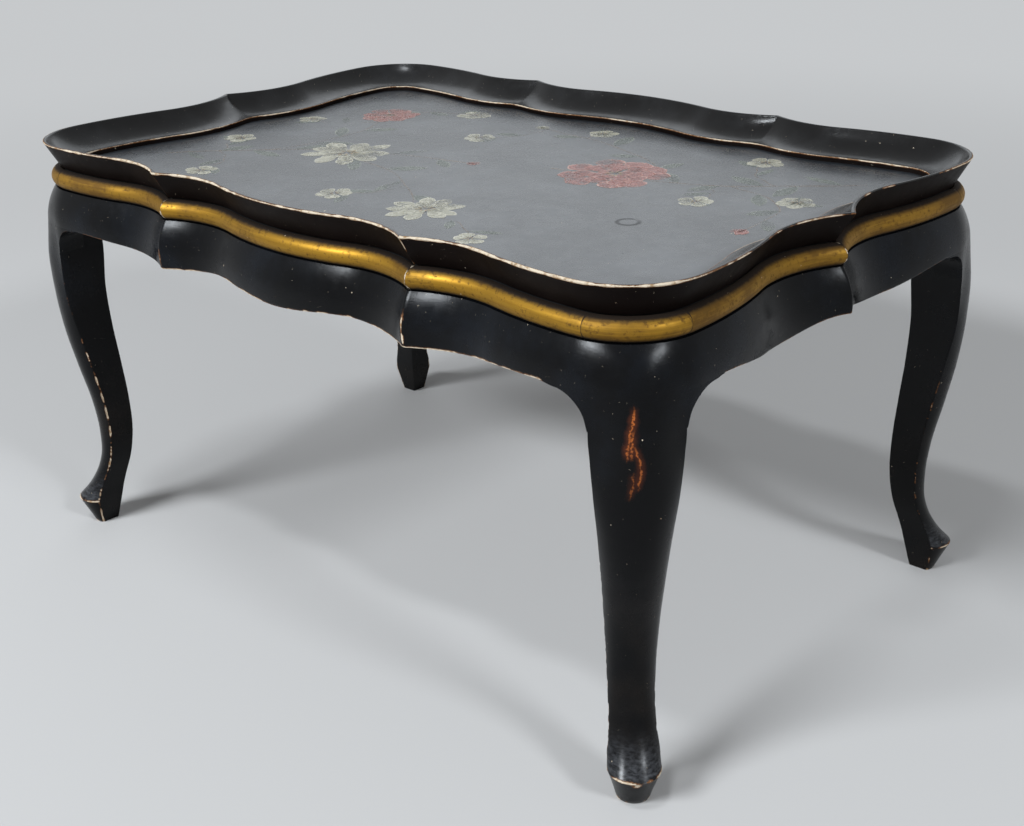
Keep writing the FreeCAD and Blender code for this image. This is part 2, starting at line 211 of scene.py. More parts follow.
wear_ends = 8 * mm
left_end = -long_cusp - 5 * mm
left_loss = 0.55
away_loss = 0.6
sharp_angle = radians(40)


def belly_inset(level):
    """Apron face behind the rim at a level; outside the rim it is negative."""
    return belly_radius - belly_reach - np.sqrt(belly_radius ** 2 - (level - belly_level) ** 2)


def flowing(points, at):
    """Smooth curve through (place, value) points, level at both ends and beyond them."""
    places, values = np.array(points).T
    gaps = np.diff(places)
    rates = np.diff(values) / gaps
    count = len(places)
    system = np.eye(count)
    right = np.zeros(count)
    for k in range(1, count - 1):
        system[k, k - 1:k + 2] = (1 / gaps[k - 1], 2 / gaps[k - 1] + 2 / gaps[k], 1 / gaps[k])
        right[k] = 3 * (rates[k - 1] / gaps[k - 1] + rates[k] / gaps[k])
    return hermite(places, values, np.linalg.solve(system, right), at)


def hermite(places, values, slopes, at):
    """Curve with given values and slopes at given places."""
    at = np.clip(at, places[0], places[-1])
    k = np.clip(np.searchsorted(places, at) - 1, 0, len(places) - 2)
    gap = places[k + 1] - places[k]
    t = (at - places[k]) / gap
    return (values[k] * (1 + 2 * t) * (1 - t) ** 2 + slopes[k] * gap * t * (1 - t) ** 2
            + values[k + 1] * t ** 2 * (3 - 2 * t) - slopes[k + 1] * gap * t ** 2 * (1 - t))


def rise(low, high, value):
    """0 up to low, 1 from high on, and a smooth rise between."""
    t = np.clip((np.asarray(value) - low) / (high - low), 0, 1)
    return t * t * (3 - 2 * t)


def patches(rows, rate, drift):
    """Soft patches from 0 to 1 over a grid of points, about rate to the metre, broken by finer ones."""
    shift = Vector((drift, 2.7 * drift, -1.3 * drift))
    found = [noise.noise(Vector(place) * rate + shift) + 0.6 * noise.noise(Vector(place) * 4.3 * rate - shift)
             for place in rows.reshape(-1, 3)]
    return np.clip(0.5 + 0.7 * np.array(found).reshape(rows.shape[:2]), 0, 1)


def wear(rows, distance, reach, rate, drift, least, most=1.0):
    """How far the lacquer has gone: most of it on the arris in the worst patches, none a reach away."""
    near = np.clip(1 - distance / reach, 0, 1)
    return near * (least + (most - least) * rise(0.3, 0.72, patches(rows, rate, drift)))


def skin(name, rows, marks):
    """Closed mesh over rows of points, each row a section round the piece; marks give each point a value."""
    count, across = rows.shape[:2]
    faces = [tuple(range(across)), tuple(range((count - 1) * across, count * across))]
    for row in range(count - 1):
        for column in range(across):
            here = row * across + column
            beside = row * across + (column + 1) % across
            faces.append((here, beside, beside + across, here + across))
    return solid(name, rows.reshape(-1, 3), faces, marks)


def solid(name, points, faces, marks):
    """Smooth mesh object with sharp arrises, its marks kept as attributes."""
    mesh = bpy.data.meshes.new(name)
    mesh.from_pydata(np.asarray(points).tolist(), [], faces)
    for mark, values in marks.items():
        layer = mesh.attributes.new(mark, "FLOAT", "POINT")
        layer.data.foreach_set("value", np.ravel(values).astype(np.float32))
    work = bmesh.new()
    work.from_mesh(mesh)
    bmesh.ops.recalc_face_normals(work, faces=work.faces)
    work.to_mesh(mesh)
    work.free()
    mesh.polygons.foreach_set("use_smooth", [True] * len(mesh.polygons))
    mesh.set_sharp_from_angle(angle=sharp_angle)
    piece = bpy.data.objects.new(name, mesh)
    bpy.context.scene.collection.objects.link(piece)
    return piece


def fit(piece, material, body, slot, *nodes):
    """Finishes a piece, sets it on its body and lets it stand for its nodes."""
    piece.data.materials.append(material)
    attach(piece, body)
    if nodes:
        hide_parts(*nodes)
    return piece


def put(tree, kind, inputs=None, **settings):
    """Adds a node with its settings; each input is a value or a socket to link."""
    made = tree.nodes.new("ShaderNode" + kind)
    for name, value in settings.items():
        setattr(made, name, value)
    for name, value in (inputs or {}).items():
        if isinstance(value, bpy.types.NodeSocket):
            tree.links.new(value, made.inputs[name])
        else:
            made.inputs[name].default_value = value
    return made


def blend(tree, share, first, second):
    """Colour between two others."""
    made = put(tree, "Mix", data_type="RGBA")
    for number, value in ((0, share), (6, first), (7, second)):
        if isinstance(value, bpy.types.NodeSocket):
            tree.links.new(value, made.inputs[number])
        else:
            made.inputs[number].default_value = value if number == 0 else (*value, 1)
    return made.outputs[2]


def sums(tree, kind, first, second=0.5, clamp=False):
    return put(tree, "Math", {0: first, 1: second}, operation=kind, use_clamp=clamp).outputs[0]


def ramp(tree, value, low, high, to_low=0.0, to_high=1.0):
    """Smooth step of a value between two limits."""
    inputs = {"Value": value, "From Min": low, "From Max": high, "To Min": to_low, "To Max": to_high}
    return put(tree, "MapRange", inputs, interpolation_type="SMOOTHSTEP").outputs[0]


def group(name, inputs, outputs):
    """New node group with named sockets; returns its tree, its inputs and its output node."""
    tree = bpy.data.node_groups.new(name, "ShaderNodeTree")
    for socket, value in inputs.items():
        made = tree.interface.new_socket(socket, in_out="INPUT", socket_type="NodeSocketFloat")
        made.default_value = value
    for socket in outputs:
        tree.interface.new_socket(socket, in_out="OUTPUT", socket_type="NodeSocketFloat")
    return tree, tree.nodes.new("NodeGroupInput").outputs, tree.nodes.new("NodeGroupOutput").inputs


def object_place(tree):
    return put(tree, "TexCoord").outputs["Object"]


def mark_value(tree, name):
    return put(tree, "Attribute", attribute_name=name).outputs["Fac"]


def cloud(tree, place, rate, detail=3.0, roughness=0.55):
    inputs = {"Vector": place, "Scale": rate, "Detail": detail, "Roughness": roughness}
    return put(tree, "TexNoise", inputs).outputs["Fac"]


def relief(tree, height, strength, depth):
    return put(tree, "Bump", {"Height": height, "Strength": strength, "Distance": depth}).outputs["Normal"]


def new_material(name):
    """New material, with its node tree and the inputs of its shader."""
    material = bpy.data.materials.new(name)
    material.use_nodes = True
    tree = material.node_tree
    return material, tree, tree.nodes["Principled BSDF"].inputs


def chipping_group():
    """Ragged chips where lacquer is worn: the white ground, and a brown rim where the black is thin."""
    tree, given, out = group("chipped edges", {"Worn": 0.0, "Raggedness": 0.55}, ["Bare", "Thin"])
    place = object_place(tree)
    ragged = sums(tree, "SUBTRACT", cloud(tree, place, 420.0, 4.0, 0.62), 0.5)
    level = sums(tree, "ADD", given["Worn"], sums(tree, "MULTIPLY", ragged, given["Raggedness"]))
    tree.links.new(ramp(tree, level, 0.52, 0.60), out["Bare"])
    tree.links.new(ramp(tree, level, 0.34, 0.52), out["Thin"])
    return tree


def fleck_group():
    """Small white nicks scattered over a face."""
    tree, given, out = group("scattered flecks", {"Cells": 130.0, "Share": 0.1, "Size": 0.06}, ["Fleck"])
    place = object_place(tree)
    warp = put(tree, "TexNoise", {"Vector": place, "Scale": 500.0, "Detail": 2.0}).outputs["Color"]
    bent = put(tree, "Mix", {0: 0.004}, data_type="RGBA", blend_type="ADD")
    tree.links.new(place, bent.inputs[6])
    tree.links.new(warp, bent.inputs[7])
    cells = put(tree, "TexVoronoi", {"Vector": bent.outputs[2], "Scale": given["Cells"], "Randomness": 1.0})
    parts = put(tree, "SeparateColor", {0: cells.outputs["Color"]}).outputs
    chosen = sums(tree, "LESS_THAN", parts[0], given["Share"])
    size = sums(tree, "MULTIPLY", given["Size"], sums(tree, "ADD", parts[1], 0.3))
    inside = sums(tree, "LESS_THAN", cells.outputs["Distance"], size)
    tree.links.new(sums(tree, "MULTIPLY", chosen, inside), out["Fleck"])
    return tree


def film_group():
    """Old lacquer film: broad milky haze, uneven polish, fine brush marks and hairline rubbing."""
    tree, given, out = group("lacquer film", {"Polish": 0.3, "Unevenness": 1.0},
                             ["Haze", "Roughness", "Height"])
    place = object_place(tree)
    broad = cloud(tree, place, 11.0, 4.0, 0.6)
    fine = cloud(tree, place, 90.0, 5.0, 0.65)
    flattened = put(tree, "VectorMath", {0: place, 1: (1.0, 1.0, 4.0)}, operation="MULTIPLY").outputs[0]
    brush = cloud(tree, flattened, 170.0, 4.0, 0.65)
    tree.links.new(ramp(tree, broad, 0.42, 0.75), out["Haze"])
    uneven = sums(tree, "ADD", sums(tree, "MULTIPLY", broad, 0.16), sums(tree, "MULTIPLY", fine, 0.28))
    uneven = sums(tree, "MULTIPLY", sums(tree, "SUBTRACT", uneven, 0.22), given["Unevenness"])
    tree.links.new(sums(tree, "ADD", given["Polish"], uneven), out["Roughness"])
    waves = sums(tree, "ADD", cloud(tree, place, 38.0, 2.0, 0.5), sums(tree, "MULTIPLY", brush, 0.5))
    tree.links.new(sums(tree, "ADD", waves, sums(tree, "MULTIPLY", fine, 0.6)), out["Height"])
    return tree


def grain_group():
    """Straight wood grain along x, y or z, whichever the board runs: streaks stretched along one axis."""
    axes = ("Along x", "Along y", "Along z")
    tree, given, out = group("wood grain", {axis: 1.0 for axis in axes}, ["Streak", "Pore"])
    scale = put(tree, "CombineXYZ", {number: given[axis] for number, axis in enumerate(axes)}).outputs[0]
    stretched = put(tree, "VectorMath", {0: object_place(tree), 1: scale}, operation="MULTIPLY").outputs[0]
    tree.links.new(cloud(tree, stretched, 60.0, 5.0, 0.6), out["Streak"])
    tree.links.new(ramp(tree, cloud(tree, stretched, 420.0, 2.0, 0.5), 0.55, 0.7), out["Pore"])
    return tree


chipping = chipping_group()
flecking = fleck_group()
filming = film_group()
graining = grain_group()


def flecks(tree, **inputs):
    return put(tree, "Group", inputs, node_tree=flecking).outputs["Fleck"]


white_ground = (0.60, 0.51, 0.39)
soiled_ground = (0.27, 0.16, 0.075)
brown_rim = (0.15, 0.062, 0.022)
red_ground = (0.34, 0.095, 0.022)
red_glow = (0.060, 0.016, 0.007)
# Grey of lacquer rubbed thin above the toes, partly a painted sheen.
rubbed_grey_sheen = (0.085, 0.088, 0.096)
# Warm haze for the feet, a painted reflection of a warm floor.
foot_haze_reflection = (0.0090, 0.0070, 0.0058)
inside_brown = (0.055, 0.035, 0.022)


def scuffed(tree, colour, number):
    """Colour with one scratchy strand of red ground in a dark red glow; marks are in millimetres."""
    place = object_place(tree)
    shown = mark_value(tree, f"strand_{number}_shown")
    wander = sums(tree, "MULTIPLY", sums(tree, "SUBTRACT", cloud(tree, place, 110.0), 0.5), 7.0)
    off = sums(tree, "ABSOLUTE", sums(tree, "ADD", mark_value(tree, f"strand_{number}"), wander))
    width = ramp(tree, cloud(tree, place, 480.0, 3.0, 0.65), 0.38, 0.62, 0.0, 1.3)
    glow = sums(tree, "MULTIPLY", shown, ramp(tree, off, 0.6, 5.6, 0.85, 0.0))
    core = sums(tree, "MULTIPLY", shown, ramp(tree, sums(tree, "SUBTRACT", off, width), -0.3, 0.3, 1.0, 0.0))
    return blend(tree, core, blend(tree, glow, colour, red_glow), red_ground)


def lacquer(name, black, haze, polish, shine, raggedness=0.55, strands=0):
    """Worn gloss lacquer; marks on the mesh say where it is worn, rubbed grey with a painted sheen, bare
    inside or scuffed.
    Low down its haze turns warm, a painted reflection of a warm floor.
    """
    material, tree, surface = new_material(name)
    place = object_place(tree)
    film = put(tree, "Group", {"Polish": polish}, node_tree=filming).outputs
    worn = mark_value(tree, "worn")
    chips = put(tree, "Group", {"Worn": worn, "Raggedness": raggedness}, node_tree=chipping).outputs
    fleck = flecks(tree, Share=0.24)
    pin = flecks(tree, Cells=330.0, Share=0.12, Size=0.10)
    grain = put(tree, "Group", {"Along x": 0.08}, node_tree=graining).outputs["Streak"]
    across = put(tree, "VectorMath", {0: place, 1: (1.0, 1.0, 3.0)}, operation="MULTIPLY").outputs[0]
    streaks = ramp(tree, cloud(tree, across, 150.0, 5.0, 0.7), 0.28, 0.85)
    # Rubbed grey above the toes, in streaks, partly a painted sheen.
    rub_and_sheen = sums(tree, "MULTIPLY", mark_value(tree, "rub_and_sheen"), streaks)
    inside = mark_value(tree, "inside")
    # Painted reflection: towards the floor the haze turns from its own tint to a warm one.
    raised = ramp(tree, put(tree, "SeparateXYZ", {0: place}).outputs[2], 0.10, 0.36)
    colour = blend(tree, film["Haze"], black, blend(tree, raised, foot_haze_reflection, haze))
    colour = blend(tree, inside, colour, blend(tree, grain, inside_brown, black))
    colour = blend(tree, rub_and_sheen, colour, rubbed_grey_sheen)
    for number in range(strands):
        colour = scuffed(tree, colour, number)
    colour = blend(tree, chips["Thin"], colour, brown_rim)
    nicks = sums(tree, "MAXIMUM", fleck, sums(tree, "MULTIPLY", pin, 0.35))
    bare = sums(tree, "MAXIMUM", chips["Bare"], nicks)
    ground = blend(tree, ramp(tree, cloud(tree, place, 210.0, 4.0), 0.47, 0.72), white_ground, soiled_ground)
    colour = blend(tree, bare, colour, ground)
    thin = sums(tree, "MULTIPLY", chips["Thin"], 0.7)
    dull = sums(tree, "MAXIMUM", thin, sums(tree, "MAXIMUM", bare, inside))
    rough = put(tree, "Mix", {0: dull, 2: film["Roughness"], 3: 0.72}).outputs[0]
    height = sums(tree, "SUBTRACT", sums(tree, "MULTIPLY", film["Height"], 0.35), chips["Bare"])
    surface["Specular IOR Level"].default_value = shine
    tree.links.new(colour, surface["Base Color"])
    tree.links.new(rough, surface["Roughness"])
    tree.links.new(relief(tree, height, strength=0.65, depth=0.6 * mm), surface["Normal"])
    return material


stand_black = (0.0022, 0.0023, 0.0027)
stand_haze = (0.0056, 0.0071, 0.0102)
stand_polish = 0.24
stand_shine = 0.13
stand_lacquer = lacquer("stand_lacquer", stand_black, stand_haze, stand_polish, stand_shine)


def from_cusps(rows):
    """Distance of points from the nearest cusp of the plan, along the side they stand on."""
    x, y = np.abs(rows[..., 0]), np.abs(rows[..., 1])
    return np.minimum(np.abs(x - long_cusp), y)


def apron_half(arcs, edge, along, inner_face, ear_start):
    """Sections along half an apron, with each point's distance from the lower edge, and inner side."""
    face_shares = np.array([0, 0.03, 0.1, 0.2, 0.32, 0.45, 0.58, 0.69, 0.78, 0.85, 0.905, 0.945, 0.97])
    rows, below, inside = [], [], []
    for arc, share in stations(arcs, board_step):
        place = np.array(arc.point(share, 0))
        low = bead_bottom - float(flowing(edge, place[along]))
        softness = arris_softness * float(1 - 0.96 * rise(ear_start - sharpening, ear_start, place[along]))
        levels = np.append(bead_bottom + (low - bead_bottom) * face_shares, low + 0.3 * softness)
        insets = belly_inset(levels) + cusp_softness * max(0, 1 - from_cusps(place) / cusp_reach) ** 2
        insets[-1] += 0.3 * softness
        section = [(*arc.point(share, inset), level) for inset, level in zip(insets, levels)]
        front = np.array(section[-1])
        back = front.copy()
        back[along] = place[along]
        back[1 - along] = inner_face
        depth = np.linalg.norm(back - front)
        unders = [softness / depth, edge_loop / depth, 0.3, 0.65, 1]
        section += [(*(front + (back - front) * t)[:2], low) for t in unders]
        section += [(back[0], back[1], low + (seat - low) * t) for t in (0.35, 0.7, 1)]
        section += [(*arc.point(share, bead_rebate), level) for level in (seat, bead_bottom)]
        rows.append(section)
        below.append([*(levels - low), *(t * depth for t in unders)] + [1.0] * 5)
        inside.append([0.0] * (len(levels) + len(unders) - 1) + [1.0] * 4 + [0.0] * 2)
    return np.array(rows), np.array(below), np.array(inside), len(face_shares) + 1


def both_halves(half, axis, mirrored_first):
    """A half and its mirror image across the middle, as one run of rows."""
    sign = np.ones(half.shape[2:]) if half.ndim == 3 else 1
    if half.ndim == 3:
        sign[axis] = -1
    other = half[::-1] * sign
    return np.concatenate([other[:-1], half]) if mirrored_first else np.concatenate([half, other[1:]])


def make_apron(name, arcs, edge, along, inner_face, ear_start, x_side, y_side, drift, loss):
    rows, below, inside, face_columns = apron_half(arcs, edge, along, inner_face, ear_start)
    rows, below, inside = [both_halves(part, along, along == 0) for part in (rows, below, inside)]
    rows = rows * (x_side, y_side, 1)
    open_edge = 1 - rise(ear_start - wear_fades, ear_start - wear_ends, np.abs(rows[:, :, along]))
    beside = from_cusps(rows)
    beside[:, face_columns:] = 1
    lower = 1 - rise(belly_level, bead_bottom, rows[:, :, 2])
    loss = np.where(rows[:, :, 0] > left_end, loss, left_loss)
    edge_worn = wear(rows, below, edge_wear, rate=34, drift=drift, least=0.50) * open_edge * loss
    cusp_worn = wear(rows, beside, edge_wear, rate=60, drift=drift + 3, least=0.18) * (0.35 + 0.75 * lower)
    cusp_worn *= np.where(rows[:, :, 0] > 0, loss, left_loss)
    return skin(name, rows, {"worn": np.maximum(edge_worn, cusp_worn), "inside": inside})


long_run, past_long = split(plan, "x", leg_face_x)
short_run = split(past_long, "y", leg_face_y)[1]
for side, sign in (("front", -1), ("back", 1)):
    piece = make_apron(f"serpentine_apron_{side}", long_run, long_edge, 0, long_inner_face,
                       long_ear_start, 1, sign, 5 + sign, 1.0 if side == "front" else away_loss)
    fit(piece, stand_lacquer, "stand", "stand_lacquer", f"apron_{side}")
for side, sign in (("left", -1), ("right", 1)):
    piece = make_apron(f"serpentine_apron_{side}", short_run, short_edge, 1, short_inner_face,
                       short_ear_start, sign, 1, 9 + sign, away_loss)
    fit(piece, stand_lacquer, "stand", "stand_lacquer", f"apron_{side}")


# Legs
# Four cabriole legs, rounded outside from arris to arris and flat on the two inner faces, with a sharp lip on
# the toe. They are lacquered with the aprons, and the black has chipped off their arrises, toes and one knee.

leg_rows = [  # in millimetres: level, then inner corner, arris and nose from the corner stroke's centre
    (33.0, 34.0, 68.0, 71.0), (46.0, 31.5, 65.2, 62.2), (62.2, 27.7, 58.7, 54.2),
    (84.8, 22.0, 51.9, 47.4), (120.1, 17.3, 48.5, 45.0), (160.1, 16.8, 50.8, 47.4),
    (205.1, 18.9, 57.3, 54.0), (255.1, 21.8, 66.3, 60.5), (300.1, 22.8, 74.0, 63.2),
]
foot_row = (40.5, 62.0, 60.0)  # the same three at the floor
foot_rounding = 0.6 * mm
lip_level = 33 * mm
ear_bottom = 355.5 * mm
knee_swell = 7.6 * mm
chip_depth = 1.0 * mm
arris_wear = 2.7 * mm
lip_wear = 3.0 * mm
toe_wear = 8.5 * mm
foot_wear = 7 * mm
lip_steps = np.array([0, 0.6, 1.6, 3.2]) * mm
leg_step = 2 * mm
arris_loops = (4 * mm, 2 * mm)
arris_sharpens = (330 * mm, 350 * mm)
least_softness = 0.004 * mm
arris_covered = (345 * mm, 362 * mm)
knee_rise = (190 * mm, 290 * mm)
toe_drop = 3 * mm
rub_sheen_start = 3 * mm
rub_sheen_fades = (30 * mm, 72 * mm)
scuff_fade = 10 * mm
knee_scuffs = [  # strands of the scuff on one knee: strength, and (level, across the face from the nose)
    (1.0, [(337 * mm, 11 * mm), (350 * mm, 9.5 * mm), (366 * mm, 6.5 * mm), (385 * mm, 4.5 * mm)]),
    (0.8, [(338 * mm, 7.5 * mm), (350 * mm, 6.8 * mm), (366 * mm, 4.6 * mm)]),
    (0.75, [(311 * mm, 3.0 * mm), (327 * mm, -0.5 * mm), (340 * mm, 0.5 * mm), (354 * mm, 6.0 * mm)]),
    (0.4, [(302 * mm, 9.0 * mm), (316 * mm, 7.0 * mm), (331 * mm, 5.0 * mm)]),
]


def round_slope(inner, arris, nose):
    """Slope at which the circle through both arrises and the nose leaves the arris."""
    half_chord = (arris - inner) / sqrt(2)
    bow = (nose - (inner + arris) / 2) * sqrt(2)
    return pi / 4 - 2 * atan2(bow, half_chord)


def round_head(radius, swell):
    """Inner corner, arris, nose and slope of a round leg head that swells at the nose."""
    return np.array([leg_inner, sqrt(radius ** 2 - leg_inner ** 2), radius / sqrt(2) + swell,
                     asin(leg_inner / radius)])


def head_values(level):
    """The same four above the ears, where the leg carries on the aprons' belly."""
    share = (level - ear_bottom) / (bead_bottom - ear_bottom)
    radius = corner_radius - float(belly_inset(max(level, belly_level)))
    return round_head(radius, knee_swell * (1 - share))


def leg_lines():
    """Levels up the leg to the ears, with the same four at each, and how fast they change."""
    levels = np.array([row[0] * mm for row in leg_rows] + [ear_bottom])
    values = [(*np.array(row[1:]) * mm, round_slope(*row[1:])) for row in leg_rows]
    values.append(head_values(ear_bottom))
    rates = np.gradient(np.array(values), levels, axis=0)
    rates[-1] = (head_values(ear_bottom + mm) - head_values(ear_bottom)) / mm
    return levels, np.array(values), rates


def rounded_face(inner, arris, nose, slope, shares):
    """Points of the rounded face from the arris on the long side to the nose."""
    start = np.array([inner, arris])
    end = np.array([nose, nose])
    turn = pi / 4 - slope
    radius = np.linalg.norm(end - start) / (2 * sin(turn / 2))
    handle = 4 / 3 * tan(turn / 4) * radius
    first = start + handle * np.array([cos(slope), -sin(slope)])
    second = end - handle * np.array([sqrt(0.5), -sqrt(0.5)])
    t = np.array(shares)[:, None]
    return (start * (1 - t) ** 3 + 3 * first * t * (1 - t) ** 2
            + 3 * second * t ** 2 * (1 - t) + end * t ** 3)


def leg_section(inner, arris, nose, slope, softness):
    """One section round the leg: points, distance to the arris, place across, and 1 on the rounded face."""
    flats = [0, 0.2, 0.45, 0.68, 0.84]
    face = [(inner, inner + t * (arris - inner)) for t in flats]
    face += [(inner, arris - gap) for gap in arris_loops]
    corner = [(inner, arris - softness), (inner + 0.25 * softness, arris - 0.35 * softness)]
    shares = [0.012, 0.035, 0.07, 0.115, 0.18, 0.27, 0.37, 0.48, 0.6, 0.72, 0.86]
    bow = rounded_face(inner, arris, nose, slope, shares)
    half = np.array(face + corner + bow.tolist())
    other = half[:0:-1, ::-1]
    points = np.concatenate([half, [(nose, nose)], other])
    edge = np.array((inner, arris))
    off = np.linalg.norm(points - edge, axis=1)
    off = np.minimum(off, np.linalg.norm(points - edge[::-1], axis=1))
    across = (points[:, 1] - points[:, 0]) / sqrt(2)
    outside = np.zeros(len(points))
    outside[len(face) + 1:len(points) - len(face)] = 1
    return points, off, across, outside


def leg_levels():
    """Levels of the sections below the toe's lip, and from there to the bead."""
    toe = np.array([0, 1, 5, 11, 18, 24, 29, 31.5, 32.5]) * mm
    even = np.arange(lip_level + lip_steps[-1] + leg_step, bead_bottom - leg_step / 2, leg_step)
    return toe, np.concatenate([lip_level + lip_steps, even, [bead_bottom]])


def make_leg(name, x_side, y_side, drift, loss, strands):
    arris_rate, arris_least, arris_most, toe_least = loss
    toe, shank = leg_levels()
    heights, shapes, rates = leg_lines()
    foot = np.array([*foot_row, 0]) * mm
    foot[3] = round_slope(*foot_row)
    rows, off, across, outside, levels = [], [], [], [], []
    for level in (*toe, *shank, bead_bottom, seat):
        softness = arris_softness * float(1 - rise(*arris_sharpens, level)) + least_softness
        if level < lip_level:
            values = foot + (shapes[0] - foot) * level / lip_level
            if level == 0:
                values[1:3] -= foot_rounding
        elif level < ear_bottom:
            values = [hermite(heights, shape, rate, level) for shape, rate in zip(shapes.T, rates.T)]
        else:
            values = head_values(level)
        if len(rows) >= len(toe) + len(shank):
            values = round_head(corner_radius - bead_rebate, 0)
        points, gap, place, outer = leg_section(*values, softness)
        rows.append([(corner_x + x, corner_y + y, level) for x, y in points])
        off.append(gap)
        across.append(place)
        outside.append(outer)
        levels.append([level] * len(points))
    rows, off, across, outside, levels = map(np.array, (rows, off, across, outside, levels))
    rows = rows * (x_side, y_side, 1)
    middle = rows.mean(axis=1, keepdims=True)
    free = 1 - rise(*arris_covered, levels)
    upper = rise(*knee_rise, levels)
    arris_worn = wear(rows, off, arris_wear, arris_rate, drift, arris_least, arris_most)
    arris_worn *= free * (1 - 0.55 * upper)
    lip_worn = wear(rows, np.abs(levels - lip_level) + (1 - outside), lip_wear,
                    rate=90, drift=drift + 2, least=0.36, most=0.85)
    toe_place = np.hypot(across, 1.3 * (levels - lip_level + toe_drop))
    toe_worn = wear(rows, toe_place + (1 - outside), toe_wear, rate=110, drift=drift + 5, least=toe_least)
    foot_worn = wear(rows, levels + 2 * (1 - outside), foot_wear,
                     rate=160, drift=drift + 4, least=0.0, most=0.9)
    foot_worn *= levels < lip_level
    worn = np.max([arris_worn, lip_worn, toe_worn, foot_worn], axis=0)
    # Rubbed grey above the toe's lip, partly a painted sheen, fading upwards.
    rub_and_sheen = outside * rise(lip_level, lip_level + rub_sheen_start, levels) * (1 - rise(*rub_sheen_fades, levels))
    inward = middle - rows
    inward[:, :, 2] = 0
    inward /= np.maximum(np.linalg.norm(inward, axis=2, keepdims=True), 1 * mm)
    rows = rows + inward * (chip_depth * rise(0.5, 0.85, np.maximum(arris_worn, toe_worn)))[:, :, None]
    marks = {"worn": worn, "rub_and_sheen": rub_and_sheen}
    for number, (strength, strand) in enumerate(strands):
        places, middles = np.array(strand).T
        marks[f"strand_{number}"] = (across - np.interp(levels, places, middles)) / mm
        shown = rise(places[0], places[0] + scuff_fade, levels)
        shown -= rise(places[-1] - scuff_fade, places[-1], levels)
        marks[f"strand_{number}_shown"] = strength * shown * outside
    return skin(name, rows, marks)


corners = [("front_left", -1, -1), ("front_right", 1, -1), ("back_left", -1, 1), ("back_right", 1, 1)]
leg_wear = {  # patches to the metre on the arris, least and most loss there, least loss on the toe
    "front_left": (75, 0.40, 1.0, 0.4), "front_right": (150, 0.14, 1.0, 0.9),
    "back_left": (70, 0.1, 0.8, 0.3), "back_right": (90, 0.0, 0.66, 0.4),
}
scuffed_lacquer = lacquer("scuffed_lacquer", stand_black, stand_haze, stand_polish, stand_shine,
                          strands=len(knee_scuffs))
for number, (corner, x_side, y_side) in enumerate(corners):
    near = corner == "front_right"
    piece = make_leg(f"cabriole_leg_{corner}", x_side, y_side, 20 + 7 * number, leg_wear[corner],
                     knee_scuffs if near else [])
    fit(piece, scuffed_lacquer if near else stand_lacquer, "stand", "stand_lacquer", f"leg_{corner}")


# Knee ears
# Eight small blocks glued under the aprons and against the legs, hollowed to a quarter round on their lower
# side, so that the scalloped edge runs down into the leg's arris. They are lacquered over with the rest.

ear_radius = 32 * mm
ear_nib = 1.5 * mm
ear_thickness = 30 * mm
ear_feather = 14 * mm
feather_end = 0.02 * mm
ear_wear = 3 * mm
ear_step = 2 * mm
knee_edge = bead_bottom - knee_depth


def make_ear(name, arcs, along, start, x_side, y_side, drift):
    def lower_edge(place):
        run = place[along] - start
        if run < 0:
            return knee_edge - ear_nib * float(rise(-ear_feather, 0, run)) - feather_end
        return ear_bottom + sqrt(max(0, ear_radius ** 2 - run ** 2))

    rows, below = [], []
    for arc, share in stations(arcs, ear_step):
        front = -belly_reach
        back = ear_thickness - belly_reach
        bottom = lower_edge(arc.point(share, front))
        climb = [0.02, 0.06, 0.14, 0.3, 0.6, 1]
        section = [(front, bottom + (knee_edge - bottom) * t) for t in climb]
        section[-1] = (float(belly_inset(knee_edge)), knee_edge)
        section += [(front + (back - front) * t, knee_edge) for t in (0.5, 1)]
        unders = [1, 0.6, 0.3, 0.12, 0.04]
        insets = [front + ear_thickness * t for t in unders]
        section += [(inset, lower_edge(arc.point(share, inset))) for inset in insets]
        rows.append([(*arc.point(share, inset), level) for inset, level in section])
        below.append([(knee_edge - bottom) * t for t in climb] + [1.0] * 2
                     + [ear_thickness * t for t in unders])
    rows = np.array(rows) * (x_side, y_side, 1)
    worn = wear(rows, np.array(below), ear_wear, rate=45, drift=drift, least=0.0, most=0.42)
    return skin(name, rows, {"worn": worn})


long_ear_run = split(long_run, "x", long_ear_start - ear_feather)[1]
short_ear_run = split(short_run, "y", short_ear_start - ear_feather)[0]
for number, (corner, x_side, y_side) in enumerate(corners):
    for side, arcs, along, start in (("long", long_ear_run, 0, long_ear_start),
                                     ("short", short_ear_run, 1, short_ear_start)):
        piece = make_ear(f"knee_ear_{side}_{corner}", arcs, along, start, x_side, y_side, 50 + 3 * number)
        fit(piece, stand_lacquer, "stand", "stand_lacquer", f"ear_{side}_{corner}")


# Corner blocks, bearers and their screws
# Blocks glued and screwed behind the leg heads, and two cross bearers that carry the tray. They are bare
# wood gone brown with age, and the screws are dull steel.

pore_brown = (0.05, 0.03, 0.018)
clean_steel = (0.33, 0.32, 0.31)
rust_brown = (0.13, 0.06, 0.03)


